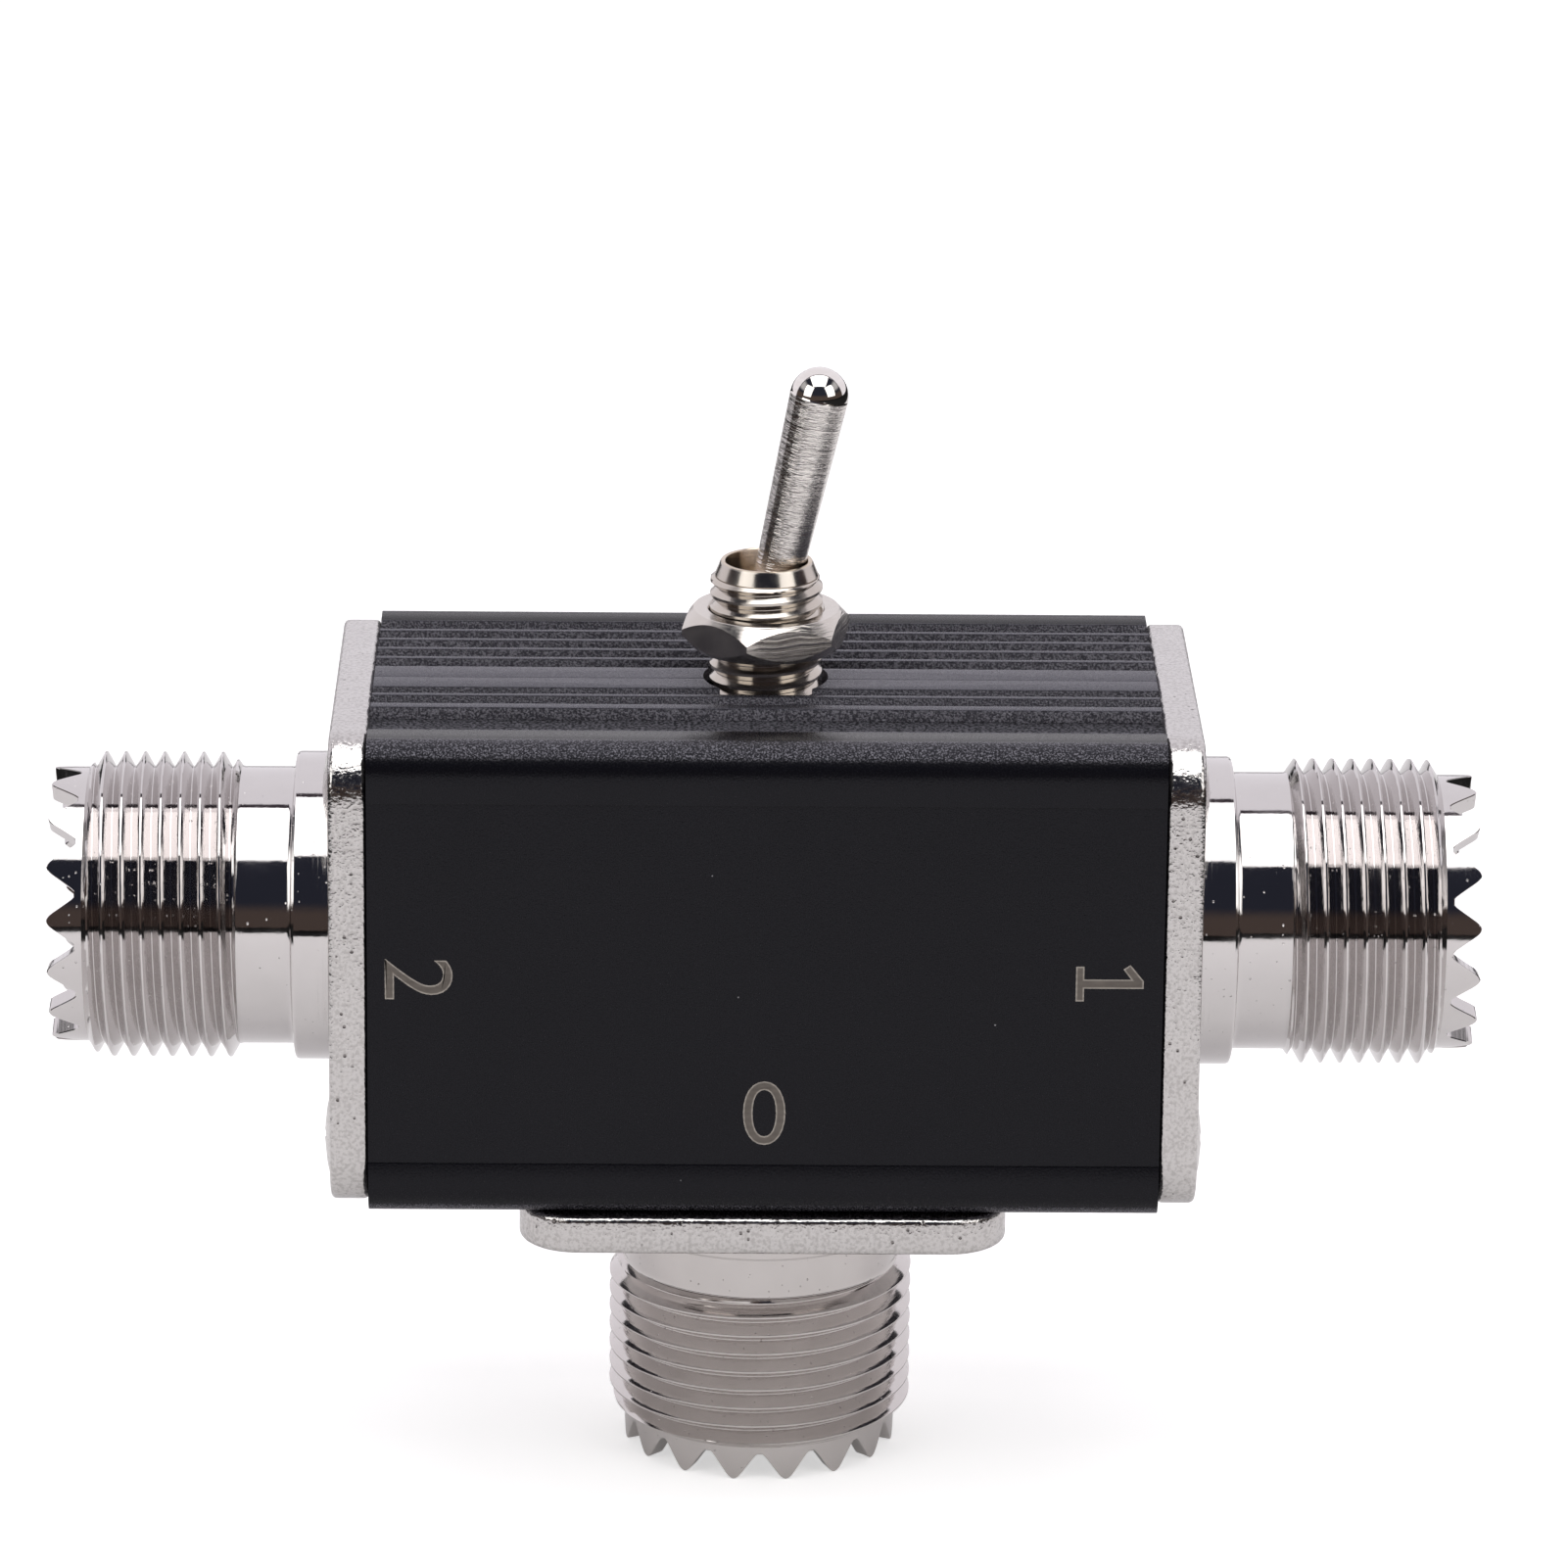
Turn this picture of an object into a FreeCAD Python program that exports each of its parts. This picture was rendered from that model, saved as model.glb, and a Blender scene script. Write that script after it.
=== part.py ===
import FreeCAD, Part
import math
import os

# Two-way coaxial antenna switch: a split extruded aluminium case with three
# threaded coaxial sockets and a miniature toggle switch. Units are millimetres.
# Sizes below are taken from the centre of the case; save() lifts every piece so
# that Z = 0 is the plane of the lower socket's teeth, on which the part stands.

V = FreeCAD.Vector
X_AXIS = V(1, 0, 0)
Y_AXIS = V(0, 1, 0)
Z_AXIS = V(0, 0, 1)

# ---- driving dimensions: case -------------------------------------------------
CASE_LENGTH = 40.0            # along X
CASE_SIZE = 25.0              # square section, Y and Z
CASE_CORNER_R = 1.6
WALL = 1.5
SEAM_PAD_WALL = 2.1           # thicker wall under the seam
SEAM_PAD_HALF = 4.9
SEAM_Y = -0.5                 # seam on the top face; +0.5 on the bottom face
TONGUE_REACH = 1.1
TONGUE_T = 0.65
TONGUE_GAP = 0.05
GROOVE_DEPTH = 0.65           # cooling grooves of the top and bottom faces
THIN_RIB = 0.4
PANEL_HALF = 9.55             # shallow recessed label field of front and rear
PANEL_DEPTH = 0.08
PORT_BOSS_R = 2.3             # screw ports of the extrusion
PORT_HOLE_R = 1.25
PORT_SLOT = 0.9
CARD_RIB_REACH = 1.0          # a pair of card guides on each side wall
CARD_RIB_T = 0.8
CARD_SLOT = 1.7
BUSHING_HOLE_R = 3.2
LOWER_HOLE_R = 7.0

# raised lands of the top face, from front (-Y) to back (+Y)
FRONT_SHELF_EDGE = -9.33
BROAD_RIB = (-5.66, -4.93)
SINGLE_RIB_Y = -3.43
SEAM_LAND = (-2.18, 1.37)
REAR_RIB_Y = (2.91, 4.53, 6.15, 7.77)
REAR_SHELF_EDGE = 9.41

# ---- driving dimensions: threaded coaxial sockets ------------------------------
FLANGE = 24.8                 # square flange
FLANGE_T = 1.95
FLANGE_CORNER_R = 3.0
SCREW_SPACING = 18.26         # hole to hole, both ways
COLLAR_R = 7.95
COLLAR_END = 2.1              # the next lengths run from the flange's outer face
NECK_R = 7.15
THREAD_R = 7.87               # crest of the M16 x 1 thread
THREAD_START = 4.9
THREAD_END = 12.75
THREAD_CHAMFER = 0.5
NOSE_R = 7.07
SOCKET_REACH = 14.55          # tips of the teeth
TEETH = 16
TOOTH_DEPTH = 1.42
TOOTH_FLAT = 0.25             # width of a tooth's blunt tip
VALLEY_FLAT = 0.24            # width of a valley's floor
MOUTH_R = 6.1
INSULATOR_FACE = 8.05         # front face of the insulator, pressed in from behind
INSULATOR_COLLAR_R = 6.6      # its collar stops it on the back of the flange
INSULATOR_END = -3.2
CORE_SIDES = 24               # flats round the insulator and the contact
CONTACT_R = 2.75
CONTACT_BORE_R = 2.0
CONTACT_TIP = 9.05
CONTACT_BORE_END = -2.0
CONTACT_CHAMFER = 0.25
CONTACT_SLOT = 0.5
CONTACT_SLOT_END = 3.3
FINGER_SPACE_R = 3.0
CONTACT_SHOULDER_R = 3.3
CONTACT_SHOULDER_T = 0.8
CUP_R = 1.5
CUP_LENGTH = 3.6
CUP_INSET = 0.4               # the cup runs on this far into the shoulder
LEAD_R = 0.8
LEAD_SIDES = 8

# ---- driving dimensions: flange screws (M2.5, raised countersunk) ---------------
SCREW_R = 1.24
SCREW_CLEAR_R = 1.45
SCREW_HEAD_R = 2.35
SCREW_DOME = 0.35             # rise of the raised head
SCREW_DOME_EDGE = (0.6, 0.72) # where the dome bends: shares of its radius and rise
SCREW_SIDES = 12              # small fasteners are cut with flats to stay light
END_SCREW_LENGTH = 8.0
LOWER_SCREW_LENGTH = 4.9

# ---- driving dimensions: miniature toggle switch --------------------------------
RIM_ABOVE_CASE = 6.2
BUSHING_R = 2.875             # crest of the M6 x 0.75 thread
RIM_OUTER_R = 2.33
RIM_INNER_R = 2.13
RIM_CHAMFER = 0.75
RIM_TAPER_R = 2.64
RIM_BEVEL = 0.15              # from the chamfer's foot out to the thread crest
SEAT_NECK_R = 1.72
BALL_R = 2.0
RUN_GAP = 0.07                # ball in its seat
SEAT_BELOW_PIVOT = 0.3
LOWER_BORE_R = 2.3
LOWER_BORE_DROP = 0.8         # below the pivot
PIVOT_BELOW_RIM = 3.5
PLATE_NECK_R = 2.7
PLATE_T = 0.5
WASHER_T = 0.5
WASHER_R = 4.7
WASHER_HOLE_R = 3.0
WASHER_TEETH = 8
WASHER_NOTCH = 0.7            # width and depth of the gaps between its teeth
NUT_AF = 7.8
NUT_T = 2.0
NUT_ABOVE_CASE = 1.7
NUT_TURN = 13.0               # degrees
NUT_FACE_R = 3.69             # where the chamfer of each face begins
NUT_CORNER_DROP = 0.85        # how far it has fallen at the hexagon's corners
LEVER_TIP_R = 1.5
LEVER_ROOT_R = 1.2
LEVER_REACH = 12.4            # ball centre to centre of the rounded tip
LEVER_LEAN = 12.0             # degrees each side of upright
LEVER_SIDES = 20
SHANK_R = 1.15
SHANK_LENGTH = 4.6
SHANK_BORE_R = 0.75
SHANK_BORE_TOP = 0.2
PLUNGER_R = 0.7
PLUNGER_TIP = 8.2             # below the ball's centre
PLUNGER_TOP = 2.6
PLUNGER_SIDES = 12
SPRING_R = 0.52               # to the middle of the wire
SPRING_WIRE_R = 0.12
SPRING_WIRE_SIDES = 6
SPRING_TURNS = 4
SPRING_SIDES = 8              # straight lengths in one turn
ROCKER_RATIO = -0.5           # rocker turn for each degree of lever
ROCKER_T = 0.4
ROCKER_TROUGH_R = 3.9
ROCKER_TROUGH_HALF = 1.75
ROCKER_WING_START = 2.2
ROCKER_HALF_LENGTH = 5.2
ROCKER_WING_RISE = 0.5
ROCKER_WIDTH = 2.8
TIP_GAP = 0.04
CONTACT_GAP = 0.03
BASE_HALF_X = 6.4
BASE_HALF_Y = 3.95
BASE_HEIGHT = 8.8
BASE_CORNER_R = 0.4
CAVITY_HALF_X = 5.6
CAVITY_HALF_Y = 1.6
FLOOR_BELOW_FULCRUM = 0.95
TERMINAL_PITCH = 4.7
TERMINAL_T = 0.8
TERMINAL_WIDTH = 2.0
TERMINAL_LENGTH = 4.0         # below the base
TERMINAL_HOLE_R = 0.55
TERMINAL_HOLE_UP = 2.9        # from the lug's end
LEG_WIDTH = 5.0
LEG_TAB = 1.0
LEAD_DROP = 2.0               # lead level on the terminals, below the case's centre
LEAD_BENDS_X = (11.0, 8.6)    # where an antenna lead starts and ends its drop

# ---- derived levels -------------------------------------------------------------
HALF_SIZE = CASE_SIZE / 2
HALF_LENGTH = CASE_LENGTH / 2
CASE_CENTRE_Z = SOCKET_REACH + FLANGE_T + HALF_SIZE
PORT_OFFSET = SCREW_SPACING / 2
INNER_HALF = HALF_SIZE - WALL
PAD_Z = HALF_SIZE - SEAM_PAD_WALL
PLATE_TOP = PAD_Z - WASHER_T
BASE_TOP = PLATE_TOP - PLATE_T
BASE_BOTTOM = BASE_TOP - BASE_HEIGHT
RIM_Z = HALF_SIZE + RIM_ABOVE_CASE
PIVOT_Z = RIM_Z - PIVOT_BELOW_RIM
PIVOT = V(0, 0, PIVOT_Z)
FULCRUM_Z = PIVOT_Z - PLUNGER_TIP - TIP_GAP - ROCKER_T
ROCKER_REST = ROCKER_RATIO * LEVER_LEAN
LUG_END = BASE_BOTTOM - TERMINAL_LENGTH
CUP_FLOOR_Z = INSULATOR_END - CONTACT_SHOULDER_T + CUP_INSET   # from the flange's face


# ---- small helpers --------------------------------------------------------------
def block(x0, x1, y0, y1, z0, z1):
    return Part.makeBox(x1 - x0, y1 - y0, z1 - z0, V(x0, y0, z0))


def rod(radius, z0, z1, x=0, y=0):
    return Part.makeCylinder(radius, z1 - z0, V(x, y, z0))


def turned(points):
    """Solid of revolution about Z from (radius, z) points; a point may also be
    ("arc", middle, end), an arc through middle to end."""
    edges = []
    last = None
    first = None
    for point in points:
        if point[0] == "arc":
            middle, end = point[1], point[2]
            edges.append(Part.Arc(V(*last), V(middle[0], 0, middle[1]), V(end[0], 0, end[1])).toShape())
            last = (end[0], 0, end[1])
        else:
            here = (point[0], 0, point[1])
            if last is None:
                first = here
            else:
                edges.append(Part.LineSegment(V(*last), V(*here)).toShape())
            last = here
    if last != first:
        edges.append(Part.LineSegment(V(*last), V(*first)).toShape())
    face = Part.Face(Part.Wire(edges))
    return face.revolve(V(0, 0, 0), Z_AXIS, 360)


def faceted(points, sides):
    """Solid round Z with flat sides, from (radius, z) points. A profile that doesn't
    both start and end on the axis is closed into a ring."""
    rings = []
    for radius, z in points:
        ring = []
        for index in range(sides):
            angle = 2 * math.pi * index / sides
            ring.append(V(radius * math.cos(angle), radius * math.sin(angle), z))
        rings.append(ring)
    if points[0][0] > 0:
        rings.append(rings[0])
    faces = []
    for ring_a, ring_b in zip(rings, rings[1:]):
        for index in range(sides):
            after = (index + 1) % sides
            corners = []
            for corner in (ring_a[index], ring_b[index], ring_b[after], ring_a[after]):
                if corner not in corners:
                    corners.append(corner)
            faces.append(Part.Face(Part.makePolygon(corners + corners[:1])))
    return Part.makeSolid(Part.makeShell(faces))


def arc_points(centre_z, radius, start, end, steps):
    """(radius, z) points on a circle about (0, centre_z), between two elevations in degrees."""
    points = []
    for index in range(steps + 1):
        angle = math.radians(start + (end - start) * index / steps)
        points.append((radius * math.cos(angle), centre_z + radius * math.sin(angle)))
    return points


def rotated(shape, degrees, axis=Y_AXIS, centre=V(0, 0, 0)):
    copy = shape.copy()
    copy.rotate(centre, axis, degrees)
    return copy


def save(shape, node):
    """Write one node, lifted from case-centred heights to the part's frame."""
    placed = shape.translated(V(0, 0, CASE_CENTRE_Z)).removeSplitter()
    placed.exportStep("parts/" + node + ".step")
    volume = sum(solid.Volume for solid in placed.Solids)
    print("%-28s %2d solid(s) %9.2f mm3" % (node, len(placed.Solids), volume))


# ---- case: two identical interlocking extrusions ---------------------------------
def land_edges():
    """Raised lands of the top face as (from, to) pairs along Y."""
    lands = [(-HALF_SIZE, FRONT_SHELF_EDGE), BROAD_RIB]
    lands.append((SINGLE_RIB_Y - THIN_RIB / 2, SINGLE_RIB_Y + THIN_RIB / 2))
    lands.append(SEAM_LAND)
    for y in REAR_RIB_Y:
        lands.append((y - THIN_RIB / 2, y + THIN_RIB / 2))
    lands.append((REAR_SHELF_EDGE, HALF_SIZE))
    return lands


def groove_cutters():
    cutters = []
    lands = land_edges()
    for before, after in zip(lands, lands[1:]):
        groove = block(-HALF_LENGTH, HALF_LENGTH, before[1], after[0],
                       HALF_SIZE - GROOVE_DEPTH, HALF_SIZE + 1)
        cutters.append(groove)
        cutters.append(rotated(groove, 180, X_AXIS))
    return cutters


def full_extrusion():
    """Both halves in one: the hollow ribbed section before it is parted."""
    outer = block(-HALF_LENGTH, HALF_LENGTH, -HALF_SIZE, HALF_SIZE, -HALF_SIZE, HALF_SIZE)
    long_edges = [edge for edge in outer.Edges if abs(edge.Length - CASE_LENGTH) < 0.01]
    outer = outer.makeFillet(CASE_CORNER_R, long_edges)
    cavity = block(-HALF_LENGTH, HALF_LENGTH, -INNER_HALF, INNER_HALF, -INNER_HALF, INNER_HALF)
    additions = []
    holes = []
    for side in (1, -1):
        pad = block(-HALF_LENGTH, HALF_LENGTH, -SEAM_PAD_HALF, SEAM_PAD_HALF, PAD_Z, INNER_HALF)
        additions.append(rotated(pad, 90 - 90 * side, X_AXIS))
        guide_top = CARD_SLOT / 2 + CARD_RIB_T
        for z in (CARD_SLOT / 2, -guide_top):
            guide = block(-HALF_LENGTH, HALF_LENGTH, INNER_HALF - CARD_RIB_REACH, INNER_HALF,
                          z, z + CARD_RIB_T)
            additions.append(rotated(guide, 90 - 90 * side, X_AXIS))
        for up in (1, -1):
            centre = V(-HALF_LENGTH, side * PORT_OFFSET, up * PORT_OFFSET)
            additions.append(Part.makeCylinder(PORT_BOSS_R, CASE_LENGTH, centre, X_AXIS))
            holes.append(Part.makeCylinder(PORT_HOLE_R, CASE_LENGTH, centre, X_AXIS))
            slot = block(-HALF_LENGTH, HALF_LENGTH, -PORT_BOSS_R - 1, 0, -PORT_SLOT / 2, PORT_SLOT / 2)
            slot = rotated(slot, 45 if side == up else -45, X_AXIS)
            if side < 0:
                slot = rotated(slot, 180, X_AXIS)
            holes.append(slot.translated(V(0, side * PORT_OFFSET, up * PORT_OFFSET)))
        panel = block(-HALF_LENGTH, HALF_LENGTH, HALF_SIZE - PANEL_DEPTH, HALF_SIZE + 1,
                      -PANEL_HALF, PANEL_HALF)
        holes.append(rotated(panel, 90 - 90 * side, X_AXIS))
    section = outer.cut(cavity)
    bosses = additions[0].multiFuse(additions[1:]).common(outer)
    section = section.fuse(bosses)
    return section.cut(holes + groove_cutters())


def rear_half(section):
    """Rear half: a tongue on its top edge, the matching slot in its bottom edge."""
    big = HALF_LENGTH + 1
    keep = block(-big, big, SEAM_Y, HALF_SIZE + 1, 0, HALF_SIZE + 1)
    keep = keep.fuse(block(-big, big, -SEAM_Y, HALF_SIZE + 1, -HALF_SIZE - 1, 0))
    half = section.common(keep)
    tongue_z = (HALF_SIZE + PAD_Z - TONGUE_T) / 2
    tongue = block(-HALF_LENGTH, HALF_LENGTH, SEAM_Y - TONGUE_REACH, SEAM_Y,
                   tongue_z, tongue_z + TONGUE_T)
    slot = block(-HALF_LENGTH, HALF_LENGTH, SEAM_Y - TONGUE_REACH - TONGUE_GAP, SEAM_Y,
                 tongue_z - TONGUE_GAP, tongue_z + TONGUE_T + TONGUE_GAP)
    return half.fuse(tongue).cut(rotated(slot, 180, X_AXIS))


def bore_case(half):
    """Holes through the assembled case: switch bushing, lower socket and its screws."""
    cutters = [rod(BUSHING_HOLE_R, 0, HALF_SIZE + 1)]
    cutters.append(rod(LOWER_HOLE_R, -HALF_SIZE - 1, 0))
    for x in (-PORT_OFFSET, PORT_OFFSET):
        for y in (-PORT_OFFSET, PORT_OFFSET):
            cutters.append(rod(PORT_HOLE_R, -HALF_SIZE - 1, -PORT_OFFSET, x, y))
    return half.cut(cutters)


# ---- threaded coaxial socket, built along +Z with its flange's outer face at 0 ----
def tooth_cutter():
    """One V across the whole nose, which opens two opposite valleys."""
    run = NOSE_R + 1
    half_top = math.pi * NOSE_R / TEETH - TOOTH_FLAT / 2
    half_floor = VALLEY_FLAT / 2
    floor_z = SOCKET_REACH - TOOTH_DEPTH
    slope = (half_top - half_floor) / TOOTH_DEPTH
    above = 0.5
    points = [V(-half_floor, -run, floor_z), V(half_floor, -run, floor_z),
              V(half_top + above * slope, -run, SOCKET_REACH + above),
              V(-half_top - above * slope, -run, SOCKET_REACH + above)]
    face = Part.Face(Part.makePolygon(points + points[:1]))
    return face.extrude(V(0, 2 * run, 0))


def screw_places():
    for x in (-PORT_OFFSET, PORT_OFFSET):
        for y in (-PORT_OFFSET, PORT_OFFSET):
            yield x, y


def socket_body():
    half = FLANGE / 2
    flange = block(-half, half, -half, half, -FLANGE_T, 0)
    corners = [edge for edge in flange.Edges if abs(edge.Length - FLANGE_T) < 0.01]
    flange = flange.makeFillet(FLANGE_CORNER_R, corners)
    barrel = turned([
        (0, -FLANGE_T / 2), (COLLAR_R, -FLANGE_T / 2), (COLLAR_R, COLLAR_END),
        (NECK_R, COLLAR_END), (NECK_R, THREAD_START),
        (THREAD_R, THREAD_START), (THREAD_R, THREAD_END - THREAD_CHAMFER),
        (NOSE_R, THREAD_END), (NOSE_R, SOCKET_REACH), (0, SOCKET_REACH)])
    cutters = [rod(MOUTH_R, -FLANGE_T - 1, SOCKET_REACH + 1)]
    screw_hole = faceted([
        (0, -FLANGE_T - 1), (SCREW_CLEAR_R, -FLANGE_T - 1), (SCREW_CLEAR_R, SCREW_CLEAR_R - SCREW_HEAD_R),
        (SCREW_HEAD_R, 0), (SCREW_HEAD_R, 1), (0, 1)], SCREW_SIDES)
    for x, y in screw_places():
        cutters.append(screw_hole.translated(V(x, y, 0)))
    for index in range(TEETH // 2):
        cutters.append(rotated(tooth_cutter(), index * 360 / TEETH, Z_AXIS))
    return flange.fuse(barrel).cut(cutters)


def insulator():
    """White sleeve with a collar that stops it on the back of the flange."""
    return faceted([
        (CONTACT_R, INSULATOR_END), (INSULATOR_COLLAR_R, INSULATOR_END),
        (INSULATOR_COLLAR_R, -FLANGE_T), (MOUTH_R, -FLANGE_T),
        (MOUTH_R, INSULATOR_FACE), (FINGER_SPACE_R, INSULATOR_FACE),
        (FINGER_SPACE_R, CONTACT_SLOT_END), (CONTACT_R, CONTACT_SLOT_END)], CORE_SIDES)


def centre_contact():
    """Slotted tube that grips a plug's pin, with a shoulder and a solder cup behind."""
    shoulder_end = INSULATOR_END - CONTACT_SHOULDER_T
    cup_end = shoulder_end - CUP_LENGTH
    shape = faceted([
        (0, CONTACT_TIP), (CONTACT_R - CONTACT_CHAMFER, CONTACT_TIP),
        (CONTACT_R, CONTACT_TIP - CONTACT_CHAMFER), (CONTACT_R, INSULATOR_END),
        (CONTACT_SHOULDER_R, INSULATOR_END), (CONTACT_SHOULDER_R, shoulder_end),
        (CUP_R, shoulder_end), (CUP_R, cup_end), (0, cup_end)], CORE_SIDES)
    run = CONTACT_R + 1
    slot = block(-CONTACT_SLOT / 2, CONTACT_SLOT / 2, -run, run, CONTACT_SLOT_END, CONTACT_TIP + 1)
    return shape.cut([rotated(slot, 45, Z_AXIS), rotated(slot, 135, Z_AXIS),
                      rod(CONTACT_BORE_R, CONTACT_BORE_END, CONTACT_TIP + 1),
                      rod(LEAD_R, cup_end - 1, CUP_FLOOR_Z)])


def flange_screws(length):
    """Four M2.5 raised countersunk screws."""
    bend_r = SCREW_HEAD_R * SCREW_DOME_EDGE[0]
    bend_z = SCREW_DOME * SCREW_DOME_EDGE[1]
    screw = faceted([
        (0, -length), (SCREW_R, -length), (SCREW_R, SCREW_R - SCREW_HEAD_R),
        (SCREW_HEAD_R, 0), (bend_r, bend_z), (0, SCREW_DOME)], SCREW_SIDES)
    return Part.makeCompound([screw.translated(V(x, y, 0)) for x, y in screw_places()])


# ---- toggle switch -----------------------------------------------------------------
def switch_bushing():
    seat_r = BALL_R + RUN_GAP
    neck_z = PIVOT_Z + math.sqrt(seat_r ** 2 - SEAT_NECK_R ** 2)
    middle = math.radians(25)
    taper_z = RIM_Z - RIM_CHAMFER
    return turned([
        (LOWER_BORE_R, BASE_TOP), (PLATE_NECK_R, BASE_TOP), (PLATE_NECK_R, PLATE_TOP), (BUSHING_R, PLATE_TOP),
        (BUSHING_R, taper_z - RIM_BEVEL), (RIM_TAPER_R, taper_z),
        (RIM_OUTER_R, RIM_Z), (RIM_INNER_R, RIM_Z), (SEAT_NECK_R, neck_z),
        ("arc", (seat_r * math.cos(middle), PIVOT_Z + seat_r * math.sin(middle)), (seat_r, PIVOT_Z)),
        (seat_r, PIVOT_Z - SEAT_BELOW_PIVOT), (LOWER_BORE_R, PIVOT_Z - LOWER_BORE_DROP)])


def bushing_nut():
    corner_r = NUT_AF / math.sqrt(3)
    bottom = HALF_SIZE + NUT_ABOVE_CASE
    points = []
    for index in range(6):
        angle = math.radians(60 * index - 90 - NUT_TURN)
        points.append(V(corner_r * math.cos(angle), corner_r * math.sin(angle), bottom))
    prism = Part.Face(Part.makePolygon(points + points[:1])).extrude(V(0, 0, NUT_T))
    outer_r = corner_r + 0.01     # clear of the corners
    top = bottom + NUT_T
    barrel = turned([
        (0, bottom), (NUT_FACE_R, bottom), (outer_r, bottom + NUT_CORNER_DROP),
        (outer_r, top - NUT_CORNER_DROP), (NUT_FACE_R, top), (0, top)])
    return prism.common(barrel).cut(rod(BUSHING_R, bottom - 1, top + 1))


def lock_washer():
    ring = rod(WASHER_R, PLATE_TOP, PAD_Z).cut(rod(WASHER_HOLE_R, PLATE_TOP - 1, PAD_Z + 1))
    half = WASHER_NOTCH / 2
    notch = block(WASHER_HOLE_R - half, WASHER_HOLE_R + WASHER_NOTCH, -half, half, PLATE_TOP - 1, PAD_Z + 1)
    return ring.cut([rotated(notch, index * 360 / WASHER_TEETH, Z_AXIS) for index in range(WASHER_TEETH)])


def leaned(shape):
    """Turn a piece drawn upright to the lever's rest lean, towards +X."""
    return rotated(shape, LEVER_LEAN, Y_AXIS, PIVOT)


def toggle_lever():
    tip_z = PIVOT_Z + LEVER_REACH
    end_z = PIVOT_Z - SHANK_LENGTH
    ball_start = -math.degrees(math.acos(SHANK_R / BALL_R))
    ball_end = math.degrees(math.acos(LEVER_ROOT_R / BALL_R))
    profile = [(0, PIVOT_Z + SHANK_BORE_TOP), (SHANK_BORE_R, PIVOT_Z + SHANK_BORE_TOP),
               (SHANK_BORE_R, end_z), (SHANK_R, end_z)]
    profile += arc_points(PIVOT_Z, BALL_R, ball_start, ball_end, 6)
    profile += arc_points(tip_z, LEVER_TIP_R, 0, 68, 3)
    profile.append((0, tip_z + LEVER_TIP_R))
    return leaned(faceted(profile, LEVER_SIDES))


def contact_plunger():
    tip_centre = PIVOT_Z - PLUNGER_TIP + PLUNGER_R
    profile = [(0, tip_centre - PLUNGER_R)]
    profile += arc_points(tip_centre, PLUNGER_R, -60, 0, 2)
    profile += [(PLUNGER_R, PIVOT_Z - PLUNGER_TOP), (0, PIVOT_Z - PLUNGER_TOP)]
    return leaned(faceted(profile, PLUNGER_SIDES))


def plunger_spring():
    """Compression spring as a mitred run of short straight lengths of wire."""
    top = PIVOT_Z + SHANK_BORE_TOP - SPRING_WIRE_R
    bottom = PIVOT_Z - PLUNGER_TOP + SPRING_WIRE_R
    steps = SPRING_TURNS * SPRING_SIDES
    points = []
    for index in range(steps + 1):
        angle = 2 * math.pi * index / SPRING_SIDES
        height = bottom + (top - bottom) * index / steps
        points.append(V(SPRING_R * math.cos(angle), SPRING_R * math.sin(angle), height))
    path = Part.makePolygon(points)
    section = wire_section(points[0], points[1] - points[0], SPRING_WIRE_R, SPRING_WIRE_SIDES)
    return leaned(path.makePipeShell([section], True, False, 1))


def wire_section(centre, direction, radius, sides):
    """Closed regular polygon round a point, square to a direction."""
    along = V(direction).normalize()
    across = along.cross(Z_AXIS).normalize()
    upward = along.cross(across)
    corners = []
    for index in range(sides):
        angle = 2 * math.pi * (index + 0.5) / sides
        corners.append(centre + across * (radius * math.cos(angle)) + upward * (radius * math.sin(angle)))
    return Part.makePolygon(corners + corners[:1])


def switch_frame():
    """Stamped steel yoke: a top plate, two end legs and the tabs folded under."""
    outer_x = BASE_HALF_X + PLATE_T
    parts = [block(-outer_x, outer_x, -BASE_HALF_Y, BASE_HALF_Y, BASE_TOP, PLATE_TOP)]
    half = LEG_WIDTH / 2
    for side in (0, 180):
        leg = block(BASE_HALF_X, outer_x, -half, half, BASE_BOTTOM - PLATE_T, BASE_TOP)
        tab = block(BASE_HALF_X - LEG_TAB, BASE_HALF_X, -half, half, BASE_BOTTOM - PLATE_T, BASE_BOTTOM)
        parts += [rotated(leg, side, Z_AXIS), rotated(tab, side, Z_AXIS)]
    return parts[0].multiFuse(parts[1:]).cut(rod(PLATE_NECK_R, BASE_TOP - 1, PLATE_TOP + 1))


def terminal_section(x):
    """The strip of one terminal between the base's floor and the lug's end."""
    half_t = TERMINAL_T / 2
    half_w = TERMINAL_WIDTH / 2
    return block(x - half_t, x + half_t, -half_w, half_w, LUG_END, FULCRUM_Z - CONTACT_GAP)


def switch_base():
    body = block(-BASE_HALF_X, BASE_HALF_X, -BASE_HALF_Y, BASE_HALF_Y, BASE_BOTTOM, BASE_TOP)
    edges = [edge for edge in body.Edges if abs(edge.Length - BASE_HEIGHT) < 0.01]
    body = body.makeFillet(BASE_CORNER_R, edges)
    floor_z = FULCRUM_Z - FLOOR_BELOW_FULCRUM
    cutters = [block(-CAVITY_HALF_X, CAVITY_HALF_X, -CAVITY_HALF_Y, CAVITY_HALF_Y, floor_z, BASE_TOP + 1)]
    for x in (-TERMINAL_PITCH, 0, TERMINAL_PITCH):
        cutters.append(terminal_section(x))
    return body.cut(cutters)


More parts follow.
